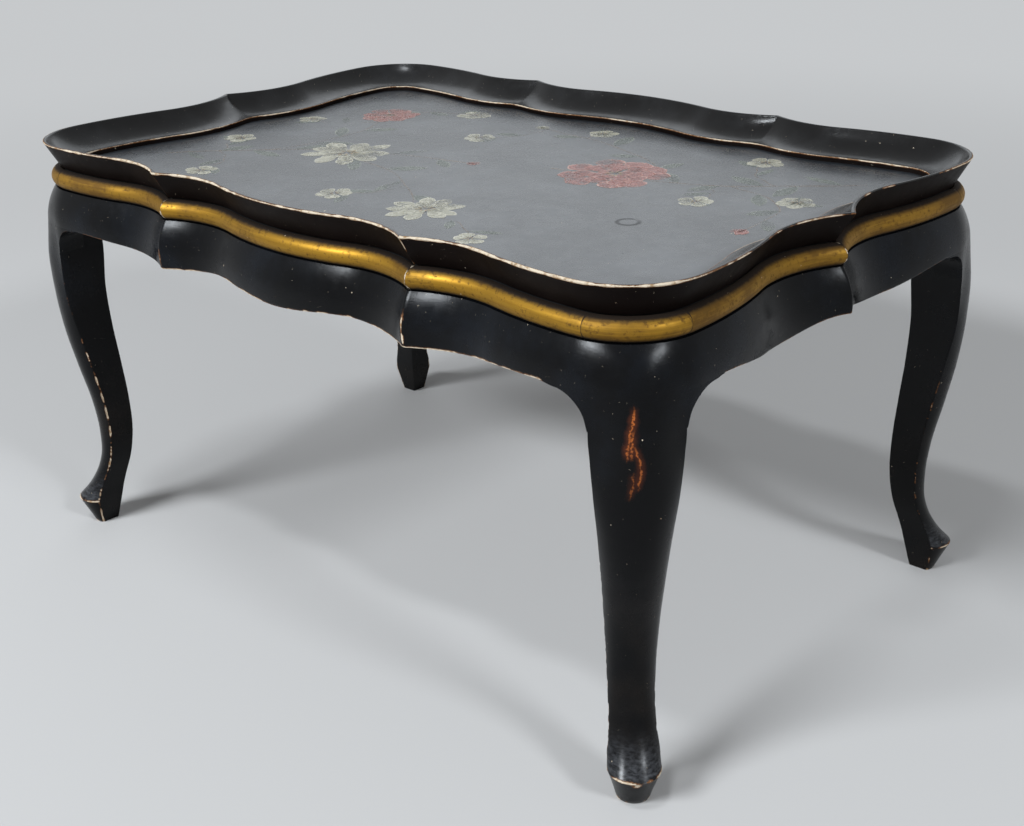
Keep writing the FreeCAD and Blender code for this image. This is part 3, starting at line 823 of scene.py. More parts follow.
def bare_wood(name, pale, dark, lengthwise):
    material, tree, surface = new_material(name)
    grain = put(tree, "Group", {f"Along {lengthwise}": 0.06}, node_tree=graining).outputs
    stain = ramp(tree, cloud(tree, object_place(tree), 14.0, 4.0), 0.35, 0.75)
    colour = blend(tree, ramp(tree, grain["Streak"], 0.3, 0.7), pale, dark)
    colour = blend(tree, sums(tree, "MULTIPLY", grain["Pore"], 0.6), colour, pore_brown)
    colour = blend(tree, sums(tree, "MULTIPLY", stain, 0.5), colour, dark)
    tree.links.new(colour, surface["Base Color"])
    tree.links.new(ramp(tree, grain["Streak"], 0.2, 0.8, 0.6, 0.8), surface["Roughness"])
    tree.links.new(relief(tree, grain["Streak"], strength=0.3, depth=0.3 * mm), surface["Normal"])
    return material


def screw_steel():
    material, tree, surface = new_material("screw_steel")
    rust = ramp(tree, cloud(tree, object_place(tree), 700.0, 4.0), 0.45, 0.65)
    tree.links.new(blend(tree, rust, clean_steel, rust_brown), surface["Base Color"])
    tree.links.new(ramp(tree, rust, 0, 1, 0.4, 0.8), surface["Roughness"])
    tree.links.new(ramp(tree, rust, 0, 1, 1.0, 0.2), surface["Metallic"])
    return material


def finish_node(name, material):
    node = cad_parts[name]
    node.data.materials.clear()
    node.data.materials.append(material)


bearer_wood = bare_wood("bearer_wood", (0.30, 0.19, 0.105), (0.16, 0.095, 0.05), "y")
block_wood = bare_wood("block_wood", (0.27, 0.165, 0.09), (0.14, 0.085, 0.045), "x")
steel = screw_steel()
for name in ("bearer_left", "bearer_right"):
    finish_node(name, bearer_wood)
for corner, *_ in corners:
    finish_node(f"corner_block_{corner}", block_wood)
for name in ("bearer_screws", "block_screws"):
    finish_node(name, steel)


# Gilt bead
# Fourteen lengths of half-round moulding, water gilt over a brown bole and laid in a rebate round the top of
# the stand. They are mitred at the cusps and butted beside the legs, and their ends have chipped to white.
# Painted shade darkens their foot and top to near black, under the gallery and against the apron, and makes
# the lengths on the left and on the short sides browner and duller.

bead_top = 450 * mm
bead_back = 15 * mm
bead_inset = 4 * mm
bead_foot = 3.5 * mm
bead_crown = 2 * mm
bead_step = 3 * mm
bead_chip = 2 * mm
# Painted shade: the bead darkens to near black this far up from its foot and down from its top.
painted_shade_below = 9 * mm
painted_shade_above = 6 * mm
joint_seam = 0.7 * mm
easing = 2.5 * mm
bright_gold = (0.385, 0.215, 0.026)
deep_gold = (0.325, 0.172, 0.020)
bole_brown = (0.085, 0.040, 0.008)
thin_gilding = (0.12, 0.05, 0.018)
shade_and_joint_dark = (0.012, 0.007, 0.004)


def bead_profile():
    """(inset, level) points round the half-round, from the foot over the face to the back."""
    middle = np.array([bead_inset, (bead_bottom + bead_top) / 2])
    first = np.array([bead_back - bead_foot, bead_bottom])
    last = np.array([bead_back - bead_crown, bead_top])
    shares = np.array([0, 0.03, 0.09, 0.17, 0.26, 0.35, 0.44, 0.53, 0.62, 0.71, 0.8, 0.88, 0.95, 1])
    return arc_through(first, middle, last, shares) + [(bead_back, bead_top), (bead_back, bead_bottom)]


def arc_through(first, middle, last, shares):
    """Points at given shares of the circular arc through three points."""
    (ax, ay), (bx, by), (cx, cy) = first, middle, last
    twice = 2 * (ax * (by - cy) + bx * (cy - ay) + cx * (ay - by))
    a, b, c = [x ** 2 + y ** 2 for x, y in (first, middle, last)]
    ux = (a * (by - cy) + b * (cy - ay) + c * (ay - by)) / twice
    uy = (a * (cx - bx) + b * (ax - cx) + c * (bx - ax)) / twice
    radius = hypot(ax - ux, ay - uy)
    turns = np.unwrap([atan2(y - uy, x - ux) for x, y in (first, middle, last)])
    return [(ux + radius * cos(turn), uy + radius * sin(turn))
            for turn in turns[0] + (turns[2] - turns[0]) * np.asarray(shares)]


def swept(arcs, profile, step, mirrored, eased):
    """Rows of a moulding along the arcs, drawn in by a share at its ends; distance from an end, and run."""
    rows = np.array([[(*arc.point(share, inset), level) for inset, level in profile]
                     for arc, share in stations(arcs, step)])
    if mirrored:
        rows = both_halves(rows, 0, True)
    run = np.concatenate([[0], np.cumsum(np.linalg.norm(np.diff(rows[:, 0], axis=0), axis=1))])
    ends = np.minimum(run, run[-1] - run)[:, None] + np.zeros(rows.shape[:2])
    ease = eased * np.clip(1 - ends / easing, 0, 1) ** 2
    rows += (rows.mean(axis=1, keepdims=True) - rows) * ease[:, :, None]
    return rows, ends, run[:, None] + np.zeros(rows.shape[:2])


def gilding():
    """Aged gold, streaked along its length: bright where it is rubbed, brown where bole and dirt show.
    Painted shade darkens it to near black along its top and foot and browns some lengths; its joints are
    dark.
    """
    material, tree, surface = new_material("aged_gilding")
    place = object_place(tree)
    level = put(tree, "SeparateXYZ", {0: place}).outputs["Z"]
    drawn = put(tree, "CombineXYZ", {0: sums(tree, "MULTIPLY", mark_value(tree, "run"), 14.0),
                                     1: sums(tree, "MULTIPLY", level, 420.0)}).outputs[0]
    streak = cloud(tree, drawn, 1.0, 4.0, 0.6)
    broad = cloud(tree, place, 16.0, 4.0, 0.6)
    fine = cloud(tree, place, 210.0, 5.0, 0.7)
    dirt = sums(tree, "ADD", sums(tree, "MULTIPLY", broad, 0.72), sums(tree, "MULTIPLY", streak, 0.28))
    chips = put(tree, "Group", {"Worn": mark_value(tree, "worn")}, node_tree=chipping).outputs
    fleck = flecks(tree, Share=0.35)
    uneven = sums(tree, "MULTIPLY", sums(tree, "SUBTRACT", fine, 0.5), 0.3)
    # Painted shade along the top and foot, with the dark joints, darkens, browns and dulls the gold.
    shade_and_joint = sums(tree, "ADD", mark_value(tree, "shade_and_joint"), uneven)
    edge_darkening = ramp(tree, shade_and_joint, 0.36, 0.86)
    spots = ramp(tree, fine, 0.54, 0.68, 0.0, 0.8)
    patina = sums(tree, "ADD", ramp(tree, dirt, 0.42, 0.72), sums(tree, "MULTIPLY", shade_and_joint, 0.8))
    patina = sums(tree, "ADD", patina, sums(tree, "ADD", mark_value(tree, "shade_share"), spots), True)
    gold = blend(tree, ramp(tree, streak, 0.3, 0.7), bright_gold, deep_gold)
    colour = blend(tree, sums(tree, "MULTIPLY", patina, 0.8), gold, bole_brown)
    colour = blend(tree, chips["Thin"], colour, thin_gilding)
    colour = blend(tree, edge_darkening, colour, shade_and_joint_dark)
    bare = sums(tree, "MAXIMUM", chips["Bare"], fleck)
    colour = blend(tree, bare, colour, white_ground)
    metal = sums(tree, "SUBTRACT", 0.9, sums(tree, "MULTIPLY", patina, 0.4))
    dull = sums(tree, "MAXIMUM", edge_darkening, sums(tree, "MAXIMUM", chips["Thin"], bare))
    metal = sums(tree, "SUBTRACT", metal, dull, True)
    rough = sums(tree, "ADD", sums(tree, "MULTIPLY", patina, 0.16), sums(tree, "MULTIPLY", fine, 0.20))
    rough = sums(tree, "ADD", rough, sums(tree, "MULTIPLY", edge_darkening, 0.2))
    height = sums(tree, "SUBTRACT", sums(tree, "MULTIPLY", streak, 0.3), bare)
    surface["Specular IOR Level"].default_value = 0.2
    tree.links.new(colour, surface["Base Color"])
    tree.links.new(metal, surface["Metallic"])
    tree.links.new(sums(tree, "ADD", rough, 0.35), surface["Roughness"])
    tree.links.new(relief(tree, height, strength=0.12, depth=0.5 * mm), surface["Normal"])
    return material


gilt = gilding()
half_round = bead_profile()
# Painted shade on the half-round: 1 at its foot and top, fading in towards its middle.
bead_painted_shade = np.array([max(0, 1 - (level - bead_bottom) / painted_shade_below, 1 - (bead_top - level) / painted_shade_above)
                       for inset, level in half_round])


def make_bead(name, arcs, mirrored, x_side, y_side, drift, shade_share=0.0):
    rows, ends, run = swept(arcs, half_round, bead_step, mirrored, eased=0.03)
    rows = rows * (x_side, y_side, 1)
    loss = 1.0 if x_side > 0 and y_side < 0 else away_loss
    worn = loss * wear(rows, from_cusps(rows), bead_chip, rate=230, drift=drift, least=0.10)
    # Painted shade at the foot and top, and a dark line at each joint.
    shades_and_joints = np.clip(bead_painted_shade + 0.8 * np.clip(1 - ends / joint_seam, 0, 1), 0, 1)
    return skin(name, rows, {"worn": worn, "shade_and_joint": shades_and_joints, "run": run, "shade_share": shade_share + 0 * run})


bead_lap = 11 * mm
before_joint, past_joint = split(plan[2:], "x", leg_face_x - bead_lap)
round_bead, side_bead = split(past_joint, "y", leg_face_y - bead_lap)
for y_name, y_side in (("front", -1), ("back", 1)):
    piece = make_bead(f"gilt_bead_{y_name}_middle", plan[:2], True, 1, y_side, 70 + y_side)
    fit(piece, gilt, "stand", "gilt", f"bead_{y_name}_middle")
    for x_name, x_side in (("left", -1), ("right", 1)):
        drift = 75 + 2 * x_side + 5 * y_side
        # Painted shade: the lengths on the left and on the short sides are browner and duller, as if less
        # lit.
        dull = 0.0 if x_side > 0 else 0.35
        for arcs, node, shade_share in ((before_joint, f"{y_name}_{x_name}", dull),
                                   (side_bead, f"{x_name}_{y_name}", 0.4),
                                   (round_bead, f"corner_{y_name}_{x_name}", 0.1 + dull)):
            piece = make_bead(f"gilt_bead_{node}", arcs, False, x_side, y_side, drift, shade_share)
            fit(piece, gilt, "stand", "gilt", f"bead_{node}")


# Tray board
# One board sawn to the plan, lacquered black on the field and rubbed dull and grey by use, with a ring left
# by a wet cup. Its underside is stained brown. It rests on the aprons and bearers, loose inside the bead.

board_top = 451 * mm
board_inset = 19 * mm
field_inset = 40 * mm
ring_place = (246 * mm, -65 * mm, board_top)
ring_radius = 10.5 * mm
outline_step = 5 * mm
field_black = (0.0095, 0.0122, 0.0158)
field_rubbed = (0.034, 0.0405, 0.049)
field_stain_and_edge = (0.004, 0.0045, 0.005)


def field_lacquer():
    material, tree, surface = new_material("field_lacquer")
    place = object_place(tree)
    film = put(tree, "Group", {"Polish": 0.27, "Unevenness": 0.3}, node_tree=filming).outputs
    fleck = flecks(tree, Share=0.08, Cells=90.0)
    away = put(tree, "VectorMath", {0: place, 1: ring_place}, operation="DISTANCE").outputs["Value"]
    ring = sums(tree, "ABSOLUTE", sums(tree, "SUBTRACT", away, ring_radius))
    broken = ramp(tree, cloud(tree, place, 90.0), 0.20, 0.56)
    ring = sums(tree, "MULTIPLY", ramp(tree, ring, 0.6 * mm, 3.4 * mm, 1, 0), broken)
    mottle = ramp(tree, cloud(tree, place, 85.0, 5.0, 0.7), 0.40, 0.70)
    hazy = sums(tree, "MULTIPLY", film["Haze"], 0.5)
    rubbed = sums(tree, "ADD", hazy, sums(tree, "MULTIPLY", mottle, 0.25))
    speck = flecks(tree, Share=0.3, Cells=70.0, Size=0.05)
    stain = sums(tree, "MULTIPLY", sums(tree, "MAXIMUM", ring, speck), 0.8)
    colour = blend(tree, rubbed, field_black, field_rubbed)
    # Darker and rougher along the field's edge, at the foot of the gallery.
    edge_darkening = mark_value(tree, "edge_darkening")
    colour = blend(tree, sums(tree, "MAXIMUM", stain, edge_darkening), colour, field_stain_and_edge)
    colour = blend(tree, mark_value(tree, "inside"), colour, inside_brown)
    colour = blend(tree, sums(tree, "MULTIPLY", fleck, 0.8), colour, white_ground)
    stretch = put(tree, "VectorMath", {0: place, 1: (1.0, 0.12, 1.0)}, operation="MULTIPLY").outputs[0]
    scratch = ramp(tree, cloud(tree, stretch, 330.0, 2.0), 0.66, 0.72)
    rough = sums(tree, "MULTIPLY", sums(tree, "ADD", scratch, mottle), 0.02)
    rough = sums(tree, "ADD", film["Roughness"], rough)
    rough = sums(tree, "ADD", rough, sums(tree, "MULTIPLY", sums(tree, "MAXIMUM", stain, edge_darkening), 0.25))
    rough = sums(tree, "MAXIMUM", rough, sums(tree, "MULTIPLY", fleck, 0.7))
    height = sums(tree, "SUBTRACT", sums(tree, "MULTIPLY", film["Height"], 0.12), scratch)
    sheen = ramp(tree, cloud(tree, place, 11.0, 5.0, 0.62), 0.34, 0.66, 0.40, 0.56)
    tree.links.new(colour, surface["Base Color"])
    tree.links.new(rough, surface["Roughness"])
    tree.links.new(sheen, surface["Specular IOR Level"])
    tree.links.new(relief(tree, height, strength=0.06, depth=0.4 * mm), surface["Normal"])
    return material


def whole_outline(inset, step):
    """Points once round the whole plan at an inset."""
    line = np.array([arc.point(share, inset) for arc, share in stations(plan, step)])
    right = np.concatenate([line, line[-2::-1] * (1, -1)])
    return np.concatenate([right, right[-2:0:-1] * (-1, 1)])


def make_board():
    """Rings of points from the middle of the underside, round the edge, to the middle of the field."""
    outer = whole_outline(board_inset, outline_step)
    field = whole_outline(field_inset, outline_step)
    underside = [(outer * share, seat) for share in (0.03, 0.5, 0.97)]
    edge = [(outer, seat), (outer, board_top), (field, board_top)]
    shares = (0.985, 0.95, 0.88, 0.75, 0.6, 0.45, 0.3, 0.15, 0.03)
    rings = underside + edge + [(field * share, board_top) for share in shares]
    rows = np.array([[(x, y, level) for x, y in line] for line, level in rings])
    under, rim_end = len(underside), len(underside + edge)
    # The field's edge, against the gallery, is marked to be darker.
    edge_darkening = np.zeros(rows.shape[:2])
    edge_darkening[under:rim_end] = 0.9
    edge_darkening[rim_end] = 0.25
    inside = np.zeros(rows.shape[:2])
    inside[:under] = 1
    return skin("tray_field", rows, {"edge_darkening": edge_darkening, "inside": inside})


fit(make_board(), field_lacquer(), "tray", "field_lacquer", "tray_board")


# Gallery
# Six lengths of flared, coved moulding planted round the board, mitred at the cusps. The rim is thin, and its
# brown-black lacquer has chipped off it, and off the inner arris and the mitres, down to the white ground.

rim = 480 * mm
gallery_foot = 15.2 * mm
fillet_top = board_top + 5.5 * mm
rim_thickness = 4 * mm
rim_shoulder = rim - 1 * mm
cove_hollow = 5 * mm
gallery_step = 3 * mm
rim_chip = 0.7 * mm
rim_wear = 3.3 * mm
inner_wear = 2.3 * mm
mitre_wear = 2.2 * mm
rim_rate = 26
mitre_rate = 80
front_fades = (-240 * mm, -140 * mm)
front_limit = -200 * mm
right_limit = 300 * mm
short_side = 100 * mm
front_mitre = (9 * mm, 0.7 * mm)  # how far along and how deep its cusp is softened
right_mitre = (10 * mm, 1.5 * mm)
far_mitre = (18 * mm, 3.2 * mm)
fine_chips = 0.34
tray_black = (0.0045, 0.0042, 0.0042)
tray_haze = (0.012, 0.012, 0.0125)
flank_black = (0.0048, 0.0031, 0.0027)
flank_haze = (0.009, 0.0062, 0.0054)
tray_lacquer = lacquer("tray_lacquer", tray_black, tray_haze, 0.22, 0.25, fine_chips)
flank_lacquer = lacquer("flank_lacquer", flank_black, flank_haze, 0.40, 0.035, fine_chips)


def gallery_profile():
    """(inset, level) points round the moulding, their distances from rim and arris, and its flank."""
    arris = np.array([field_inset, fillet_top])
    shoulder = np.array([rim_thickness, rim_shoulder])
    chord = shoulder - arris
    away = np.array([chord[1], -chord[0]]) / np.hypot(*chord)
    sag = (arris + shoulder) / 2 + away * cove_hollow * (-1 if away[1] > 0 else 1)
    cove_shares = [0, 0.03, 0.07, 0.13, 0.22, 0.33, 0.45, 0.57, 0.68, 0.78, 0.86, 0.92, 0.96, 0.985, 1]
    cove = arc_through(arris, sag, shoulder, cove_shares)
    cove[0] = (field_inset - 0.4 * mm, fillet_top + 0.1 * mm)
    crown = arc_through(shoulder, (rim_thickness / 2, rim), (0, rim_shoulder), [0.2, 0.4, 0.6, 0.8, 1])
    foot = np.array([gallery_foot, board_top])
    top = np.array([0, rim_shoulder])
    flare = [tuple(top + (foot - top) * t) for t in (0.04, 0.09, 0.16, 0.26, 0.4, 0.6, 0.8, 1)]
    fillet = [(field_inset, level) for level in (board_top, board_top + 3 * mm, fillet_top - 0.9 * mm)]
    profile = cove + crown + flare + fillet
    flank = slice(len(cove + crown) - 1, len(cove + crown + flare))
    to_rim = [hypot(inset, max(0, rim_shoulder - level)) for inset, level in profile]
    to_arris = [hypot(inset - field_inset, level - fillet_top) for inset, level in profile]
    return profile, np.array(to_rim), np.array(to_arris), flank


gallery_section, to_rim, to_arris, flank = gallery_profile()
cove_width = field_inset - rim_thickness
cove_share = np.clip([(inset - rim_thickness) / cove_width for inset, level in gallery_section], 0, 1)
cove_share[flank] = 0


def make_gallery(name, arcs, mirrored, x_side, y_side, drift, rim_loss, mitre_loss):
    rows, ends, _ = swept(arcs, gallery_section, gallery_step, mirrored, eased=0.0)
    rows = rows * (x_side, y_side, 1)
    in_front = rows[:, :, 1] < front_limit
    far = ~in_front & (rows[:, :, 0] < right_limit)
    reach, softness = [np.select([in_front, far], [near, away], beside)
                       for near, away, beside in zip(front_mitre, far_mitre, right_mitre)]
    softness *= np.clip(1 - ends / reach, 0, 1) ** 2 * (0.22 + 0.78 * cove_share)
    inward = np.where(np.abs(rows[:, :, 1:2]) < short_side, (-x_side, 0, 0), (0, -y_side, 0))
    rows = rows + inward * softness[:, :, None]
    aside = 1 - 0.4 * rise(*front_fades, rows[:, :, 1])
    rim_worn = wear(rows, to_rim, rim_wear, rim_rate, drift, *rim_loss) * aside
    arris_worn = wear(rows, to_arris, inner_wear, rate=13, drift=drift + 2, least=0.70, most=0.94)
    mitre_worn = wear(rows, ends, mitre_wear, mitre_rate, drift + 4, *mitre_loss)
    mitre_worn *= np.where(in_front & (rows[:, :, 0] > 0), 1, 0.5)
    nick = rim_chip * rise(0.62, 0.9, rim_worn) * patches(rows, rate=200, drift=drift + 6)
    rows[:, :, 2] -= nick
    piece = skin(name, rows, {"worn": np.maximum(np.maximum(rim_worn, arris_worn), mitre_worn)})
    fit(piece, tray_lacquer, "tray", "tray_lacquer", name.replace("coved_", ""))
    piece.data.materials.append(flank_lacquer)
    quads = np.arange(len(piece.data.polygons)) - 2
    on_flank = (quads >= 0) & (quads % rows.shape[1] >= flank.start)
    piece.data.polygons.foreach_set("material_index", on_flank.astype(np.int32))


front_loss = ((0.64, 1.1), (0.28, 0.9))
back_loss = ((0.30, 1.1), (0.0, 0.5))
for y_name, y_side, loss in (("front", -1, front_loss), ("back", 1, back_loss)):
    make_gallery(f"coved_gallery_{y_name}", plan[:2], True, 1, y_side, 100 + y_side, *loss)
    for x_name, x_side in (("left", -1), ("right", 1)):
        make_gallery(f"coved_gallery_{y_name}_{x_name}", plan[2:], False, x_side, y_side, 110 + x_side, *loss)


# Painted flowers
# Two sprays of camellias, magnolias and small blossom with leaves and thin branches, painted on the field
# in thin oil colours over the lacquer. The strokes are paler along their edges, faded, and partly rubbed off.

paint_rise = 0.1 * mm
hand = random.Random(7)


class Paint:
    """Brush strokes gathered for one colour: patches of points on the field, with marks for each point."""

    def __init__(self):
        self.points = []
        self.faces = []
        self.marks = {"reach": [], "side": [], "tint": []}

    def stroke(self, grid, layer):
        """One stroke as rows of plan points, from its root to its tip; upper layers lie over lower ones."""
        base = len(self.points)
        count, across = len(grid), len(grid[0])
        tint = hand.random()
        for row, line in enumerate(grid):
            for column, (x, y) in enumerate(line):
                self.points.append((x, y, board_top + paint_rise * layer))
                self.marks["reach"].append(row / (count - 1))
                self.marks["side"].append(abs(2 * column / (across - 1) - 1))
                self.marks["tint"].append(tint)
        for row in range(count - 1):
            for column in range(across - 1):
                here = base + row * across + column
                self.faces.append((here, here + 1, here + across + 1, here + across))

    def piece(self, name, material):
        made = solid(name, self.points, self.faces, self.marks)
        return fit(made, material, "tray", "field_lacquer")


def paint_colour(name, root, tip, edge, body):
    """Thin faded colour from the root of a stroke to its tip, fuller and paler along its edges."""
    material, tree, surface = new_material(name)
    place = object_place(tree)
    reach, side, tint = [mark_value(tree, mark) for mark in ("reach", "side", "tint")]
    along = put(tree, "CombineXYZ", {0: sums(tree, "MULTIPLY", side, 5.0), 1: reach,
                                     2: sums(tree, "MULTIPLY", tint, 40.0)}).outputs[0]
    hairs = cloud(tree, along, 2.2, 3.0)
    border = sums(tree, "MAXIMUM", ramp(tree, side, 0.70, 0.92), ramp(tree, reach, 0.84, 0.97))
    outward = sums(tree, "ADD", reach, sums(tree, "MULTIPLY", hairs, 0.7))
    colour = blend(tree, ramp(tree, outward, 0.4, 1.3), root, tip)
    colour = blend(tree, sums(tree, "MULTIPLY", border, ramp(tree, tint, 0.0, 1.0, 0.35, 0.9)), colour, edge)
    worn = sums(tree, "ADD", sums(tree, "MULTIPLY", cloud(tree, place, 24.0, 4.0), 0.6),
                sums(tree, "MULTIPLY", cloud(tree, place, 380.0, 4.0, 0.7), 0.4))
    cover = sums(tree, "ADD", sums(tree, "MULTIPLY", hairs, body), sums(tree, "MULTIPLY", border, 0.35))
    cover = sums(tree, "MULTIPLY", cover, ramp(tree, worn, 0.50, 0.60, 1.0, 0.25), True)
    film = put(tree, "Group", {"Polish": 0.27, "Unevenness": 0.3}, node_tree=filming).outputs
    tree.links.new(colour, surface["Base Color"])
    tree.links.new(film["Roughness"], surface["Roughness"])
    tree.links.new(cover, surface["Alpha"])
    return material


def petal(paint, centre, turn, start, length, width, fullness, layer, notch=0.0):
    """A petal or leaf from a start radius outwards; fullness moves its widest place towards the tip."""
    bend = hand.uniform(-0.1, 0.1) * length
    grid = []
    for t in (0, 0.06, 0.15, 0.27, 0.4, 0.53, 0.66, 0.78, 0.87, 0.94, 0.98, 1):
        half = max(0.03 * width, width / 2 * sin(pi * t ** fullness) ** 0.8 if 0 < t < 1 else 0)
        line = []
        for u in (-1, -0.85, -0.6, -0.2, 0.2, 0.6, 0.85, 1):
            out = start + length * (t - notch * t ** 6 * (1 - abs(u)) + 0.02 * t * sin(4 * u + 7 * turn))
            aside = u * half + bend * t * t
            line.append((centre[0] + out * cos(turn) - aside * sin(turn),
                         centre[1] + out * sin(turn) + aside * cos(turn)))
        grid.append(line)
    paint.stroke(grid, layer)


def stem(start, end, bend, thick, thin):
    """A branch from start to end, bowed sideways by an uneven hand; returns the points of its middle."""
    turn = direction(start, end)
    middle, grid = [], []
    for k in range(31):
        t = k / 30
        bow = bend * sin(pi * t) + 1.4 * mm * sin(17 * t + 90 * start[0])
        x = start[0] + (end[0] - start[0]) * t - bow * sin(turn)
        y = start[1] + (end[1] - start[1]) * t + bow * cos(turn)
        half = (thick + (thin - thick) * t) / 2 * (1 + 0.25 * sin(29 * t + 50 * start[1]))
        middle.append((x, y))
        grid.append([(x - half * sin(turn) * u, y + half * cos(turn) * u) for u in (-1, 0, 1)])
    twig.stroke(grid, 0.5)
    branches.append(middle)
    return middle


def stamens(centre, radius, count):
    for k in range(count):
        turn = 2 * pi * k / count + hand.uniform(-0.2, 0.2)
        petal(ochre, centre, turn, 0.2 * radius, radius * hand.uniform(0.7, 1.1), 0.26 * radius, 2.2, 6)


def flower(paint, centre, radius, turn, rings):
    """Rings of petals from the outside in: a count, and start, length and width in shares of the radius."""
    for layer, (count, start, length, width) in enumerate(rings):
        for k in range(count):
            lean = turn + 2 * pi * (k + 0.5 * layer) / count + hand.uniform(-0.14, 0.14)
            petal(paint, centre, lean, start * radius, length * radius * hand.uniform(0.84, 1.06),
                  width * radius * hand.uniform(0.88, 1.1), 1.6, 1.2 + layer + 0.08 * k, 0.1)


def camellia(x, y, radius, turn):
    rings = ((9, 0.40, 0.60, 0.56), (8, 0.28, 0.48, 0.46), (7, 0.17, 0.38, 0.36), (5, 0.06, 0.28, 0.28))
    flower(rose, (x, y), radius * mm, turn, rings)
    stamens((x, y), 0.15 * radius * mm, 9)


def magnolia(x, y, radius, turn):
    rings = ((9, 0.16, 0.84, 0.40), (7, 0.07, 0.60, 0.34), (4, 0.03, 0.36, 0.26))
    flower(cream, (x, y), radius * mm, turn, rings)
    stamens((x, y), 0.2 * radius * mm, 8)


def blossom(x, y, radius, turn):
    """Small blossom on a twig of its own from the nearest branch, with a leaf or two beside it."""
    place = (x, y)
    points = [point for line in branches for point in line]
    start = min(points, key=lambda point: hypot(point[0] - x, point[1] - y))
    line = stem(start, place, 0.16 * hypot(x - start[0], y - start[1]), 1.3 * mm, 0.8 * mm)
    leaves(line, (0.45, 0.8), 30 * mm, 11 * mm)
    flower(cream, place, radius * mm, turn, ((5, 0.1, 0.9, 0.8),))
    stamens(place, 0.26 * radius * mm, 6)


def leaves(line, places, length, width):
    """Pointed leaves set to either side along a branch."""
    for k, share in enumerate(places):
        number = min(len(line) - 2, int(share * (len(line) - 1)))
        turn = direction(line[number], line[number + 1]) + (0.8 if k % 2 else -0.8)
        turn += hand.uniform(-0.25, 0.25)
        long = length * hand.uniform(0.75, 1.2)
        wide = width * hand.uniform(0.8, 1.2)
        petal(leaf, line[number], turn, 1 * mm, long, wide, 1.1, 0.8)


def bud(paint, line, radius):
    """Closed bud at the end of a branch."""
    turn = direction(line[-2], line[-1])
    for lean in (-0.35, 0.35, 0):
        length = radius * mm * (1.15 if lean == 0 else 1)
        petal(paint, line[-1], turn + lean, 0, length, 0.6 * radius * mm, 1.2, 1.5 + abs(lean))


rose, cream, leaf, twig, ochre = Paint(), Paint(), Paint(), Paint(), Paint()
branches = []
left_spray = stem((-0.345, -0.165), (-0.035, 0.010), 0.036, 3.2 * mm, 1.4 * mm)
left_twig = stem(left_spray[10], (-0.300, 0.150), -0.034, 2.0 * mm, 0.9 * mm)
low_twig = stem(left_spray[15], (0.060, -0.165), 0.034, 1.9 * mm, 0.9 * mm)
right_spray = stem((0.355, 0.185), (0.055, 0.045), 0.034, 3.2 * mm, 1.4 * mm)
right_twig = stem(right_spray[12], (0.345, -0.020), 0.040, 1.9 * mm, 0.9 * mm)
top_twig = stem(right_spray[17], (-0.070, 0.185), -0.026, 1.9 * mm, 0.9 * mm)
for line, places in ((left_spray, (0.08, 0.17, 0.28, 0.42, 0.60, 0.76, 0.9)),
                     (left_twig, (0.2, 0.38, 0.56, 0.74, 0.88)), (low_twig, (0.22, 0.4, 0.6, 0.8)),
                     (right_spray, (0.08, 0.2, 0.33, 0.46, 0.58)), (right_twig, (0.2, 0.4, 0.6, 0.8)),
                     (top_twig, (0.2, 0.4, 0.6, 0.8))):
    leaves(line, places, 43 * mm, 15 * mm)
for x, y, radius, turn in ((-0.335, -0.065, 21, 0.4), (-0.245, -0.190, 19, 1.0), (-0.195, 0.190, 22, 0.2),
                           (-0.345, 0.055, 18, 0.9), (0.000, 0.205, 20, 0.7), (0.225, 0.200, 22, 0.1),
                           (0.335, 0.085, 22, 1.3), (-0.055, -0.165, 20, 0.5), (0.165, -0.195, 18, 1.1),
                           (0.255, 0.030, 20, 0.6), (-0.105, 0.105, 21, 0.3)):
    blossom(x, y, radius, turn)
for paint, line, radius in ((rose, right_twig, 17), (cream, top_twig, 18), (rose, left_spray, 15)):
    bud(paint, line, radius)
camellia(0.125, 0.068, 60, 0.3)
camellia(-0.282, 0.128, 38, 0.1)
magnolia(-0.175, -0.040, 56, 0.5)
magnolia(0.062, -0.150, 42, 0.2)
branch_paint = paint_colour("branch_paint", (0.15, 0.085, 0.040), (0.20, 0.12, 0.06), (0.24, 0.16, 0.09), 0.8)
leaf_paint = paint_colour("leaf_paint", (0.065, 0.085, 0.065), (0.12, 0.14, 0.105), (0.24, 0.25, 0.19), 1.2)
rose_paint = paint_colour("rose_paint", (0.21, 0.040, 0.028), (0.34, 0.095, 0.068), (0.54, 0.30, 0.22), 1.3)
cream_paint = paint_colour("cream_paint", (0.22, 0.21, 0.14), (0.40, 0.38, 0.28), (0.62, 0.58, 0.45), 1.6)
stamen_paint = paint_colour("stamen_paint", (0.28, 0.15, 0.04), (0.36, 0.23, 0.07), (0.36, 0.23, 0.07), 1.4)
twig.piece("painted_branches", branch_paint)
leaf.piece("painted_leaves", leaf_paint)
rose.piece("painted_camellias", rose_paint)
cream.piece("painted_blossom", cream_paint)
ochre.piece("painted_stamens", stamen_paint)


# Floor, light and camera
# A plain pale floor that runs out into a pale room, and four soft lamps. The camera stands where the table
# was seen from: a little above it, off its near right-hand corner.

room_colour = (0.95, 0.977, 1.0)
room_level = 0.60
room_light = 0.20
floor_colour = (0.55, 0.54, 0.53)
floor_size = 60
floor_near = 0.9
floor_far = 3.4
lamp_colour = (0.90, 0.95, 1.0)
camera_place = Vector((1.0458, -1.0966, 0.8311))
camera_turn = radians(42.768)
camera_tilt = radians(90 - 23.752)
camera_roll = radians(-1.489)
camera_lens = 50.47
camera_sensor = 36


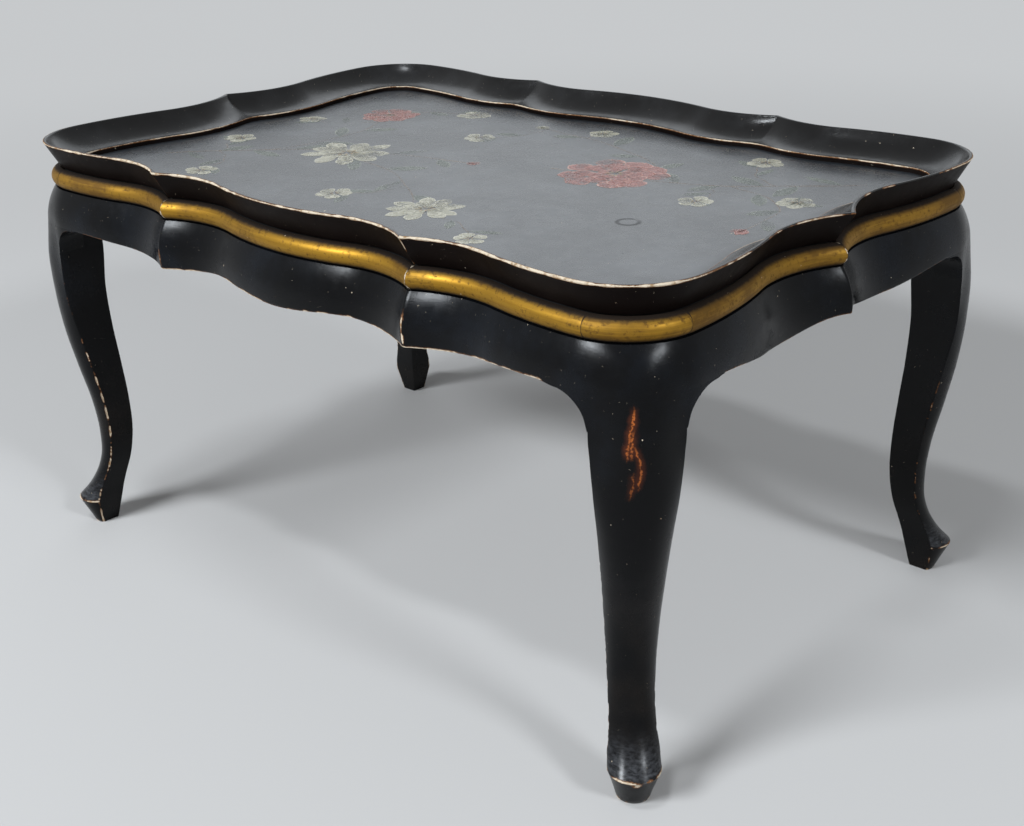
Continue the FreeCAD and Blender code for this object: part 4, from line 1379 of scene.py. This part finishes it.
def seen(tree):
    """1 for rays that the eye follows, straight or by gloss or glass, and 0 for those that give light."""
    path = put(tree, "LightPath").outputs
    glossy = sums(tree, "MAXIMUM", path["Is Glossy Ray"], path["Is Transmission Ray"])
    return sums(tree, "MAXIMUM", path["Is Camera Ray"], glossy)


def plain_floor():
    """Floor that takes the table's shadow, and runs out into the pale of the room."""
    bpy.ops.mesh.primitive_plane_add(size=floor_size, location=(0, 0, 0))
    floor = bpy.context.object
    floor.name = "floor"
    material, tree, surface = new_material("pale_floor")
    surface["Base Color"].default_value = (*floor_colour, 1)
    surface["Roughness"].default_value = 0.9
    surface["Specular IOR Level"].default_value = 0.1
    away = put(tree, "VectorMath", {0: object_place(tree)}, operation="LENGTH").outputs["Value"]
    far = sums(tree, "MULTIPLY", ramp(tree, away, floor_near, floor_far), seen(tree))
    plain = tree.nodes["Principled BSDF"].outputs[0]
    room = put(tree, "Emission", {"Color": (*room_colour, 1), "Strength": room_level}).outputs[0]
    mixed = put(tree, "MixShader", {0: far, 1: plain, 2: room}).outputs[0]
    tree.links.new(mixed, tree.nodes["Material Output"].inputs["Surface"])
    floor.data.materials.append(material)


def lamp(name, place, target, width, height, power):
    data = bpy.data.lights.new(name, "AREA")
    data.shape = "ELLIPSE"
    data.size = width
    data.size_y = height
    data.energy = power
    data.color = lamp_colour
    made = bpy.data.objects.new(name, data)
    made.location = place
    made.rotation_euler = (Vector(target) - Vector(place)).to_track_quat("-Z", "Y").to_euler()
    bpy.context.scene.collection.objects.link(made)


def pale_world():
    world = bpy.data.worlds.new("pale_room")
    bpy.context.scene.world = world
    world.use_nodes = True
    tree = world.node_tree
    background = tree.nodes["Background"].inputs
    background["Color"].default_value = (*room_colour, 1)
    tree.links.new(ramp(tree, seen(tree), 0, 1, room_light, room_level), background["Strength"])


plain_floor()
pale_world()
lamp("key", (-1.19, -5.93, 4.06), (0.1, -0.1, 0.4), 3.2, 0.8, 520)
lamp("right", (6.05, -0.73, 4.00), (0.3, -0.1, 0.4), 1.5, 0.9, 205)
lamp("back", (-4.62, 5.06, 4.08), (0, 0, 0.45), 7.5, 4.0, 85)
lamp("top", (0.15, -2.3, 5.9), (0.1, 0.2, 0.45), 1.2, 0.5, 85)
lens = bpy.data.cameras.new("camera")
lens.lens = camera_lens
lens.sensor_width = camera_sensor
camera = bpy.data.objects.new("camera", lens)
camera.matrix_world = (Matrix.Translation(camera_place) @ Matrix.Rotation(camera_turn, 4, "Z")
                       @ Matrix.Rotation(camera_tilt, 4, "X") @ Matrix.Rotation(camera_roll, 4, "Z"))
bpy.context.scene.collection.objects.link(camera)
bpy.context.scene.camera = camera
bpy.context.scene.view_settings.view_transform = "Standard"
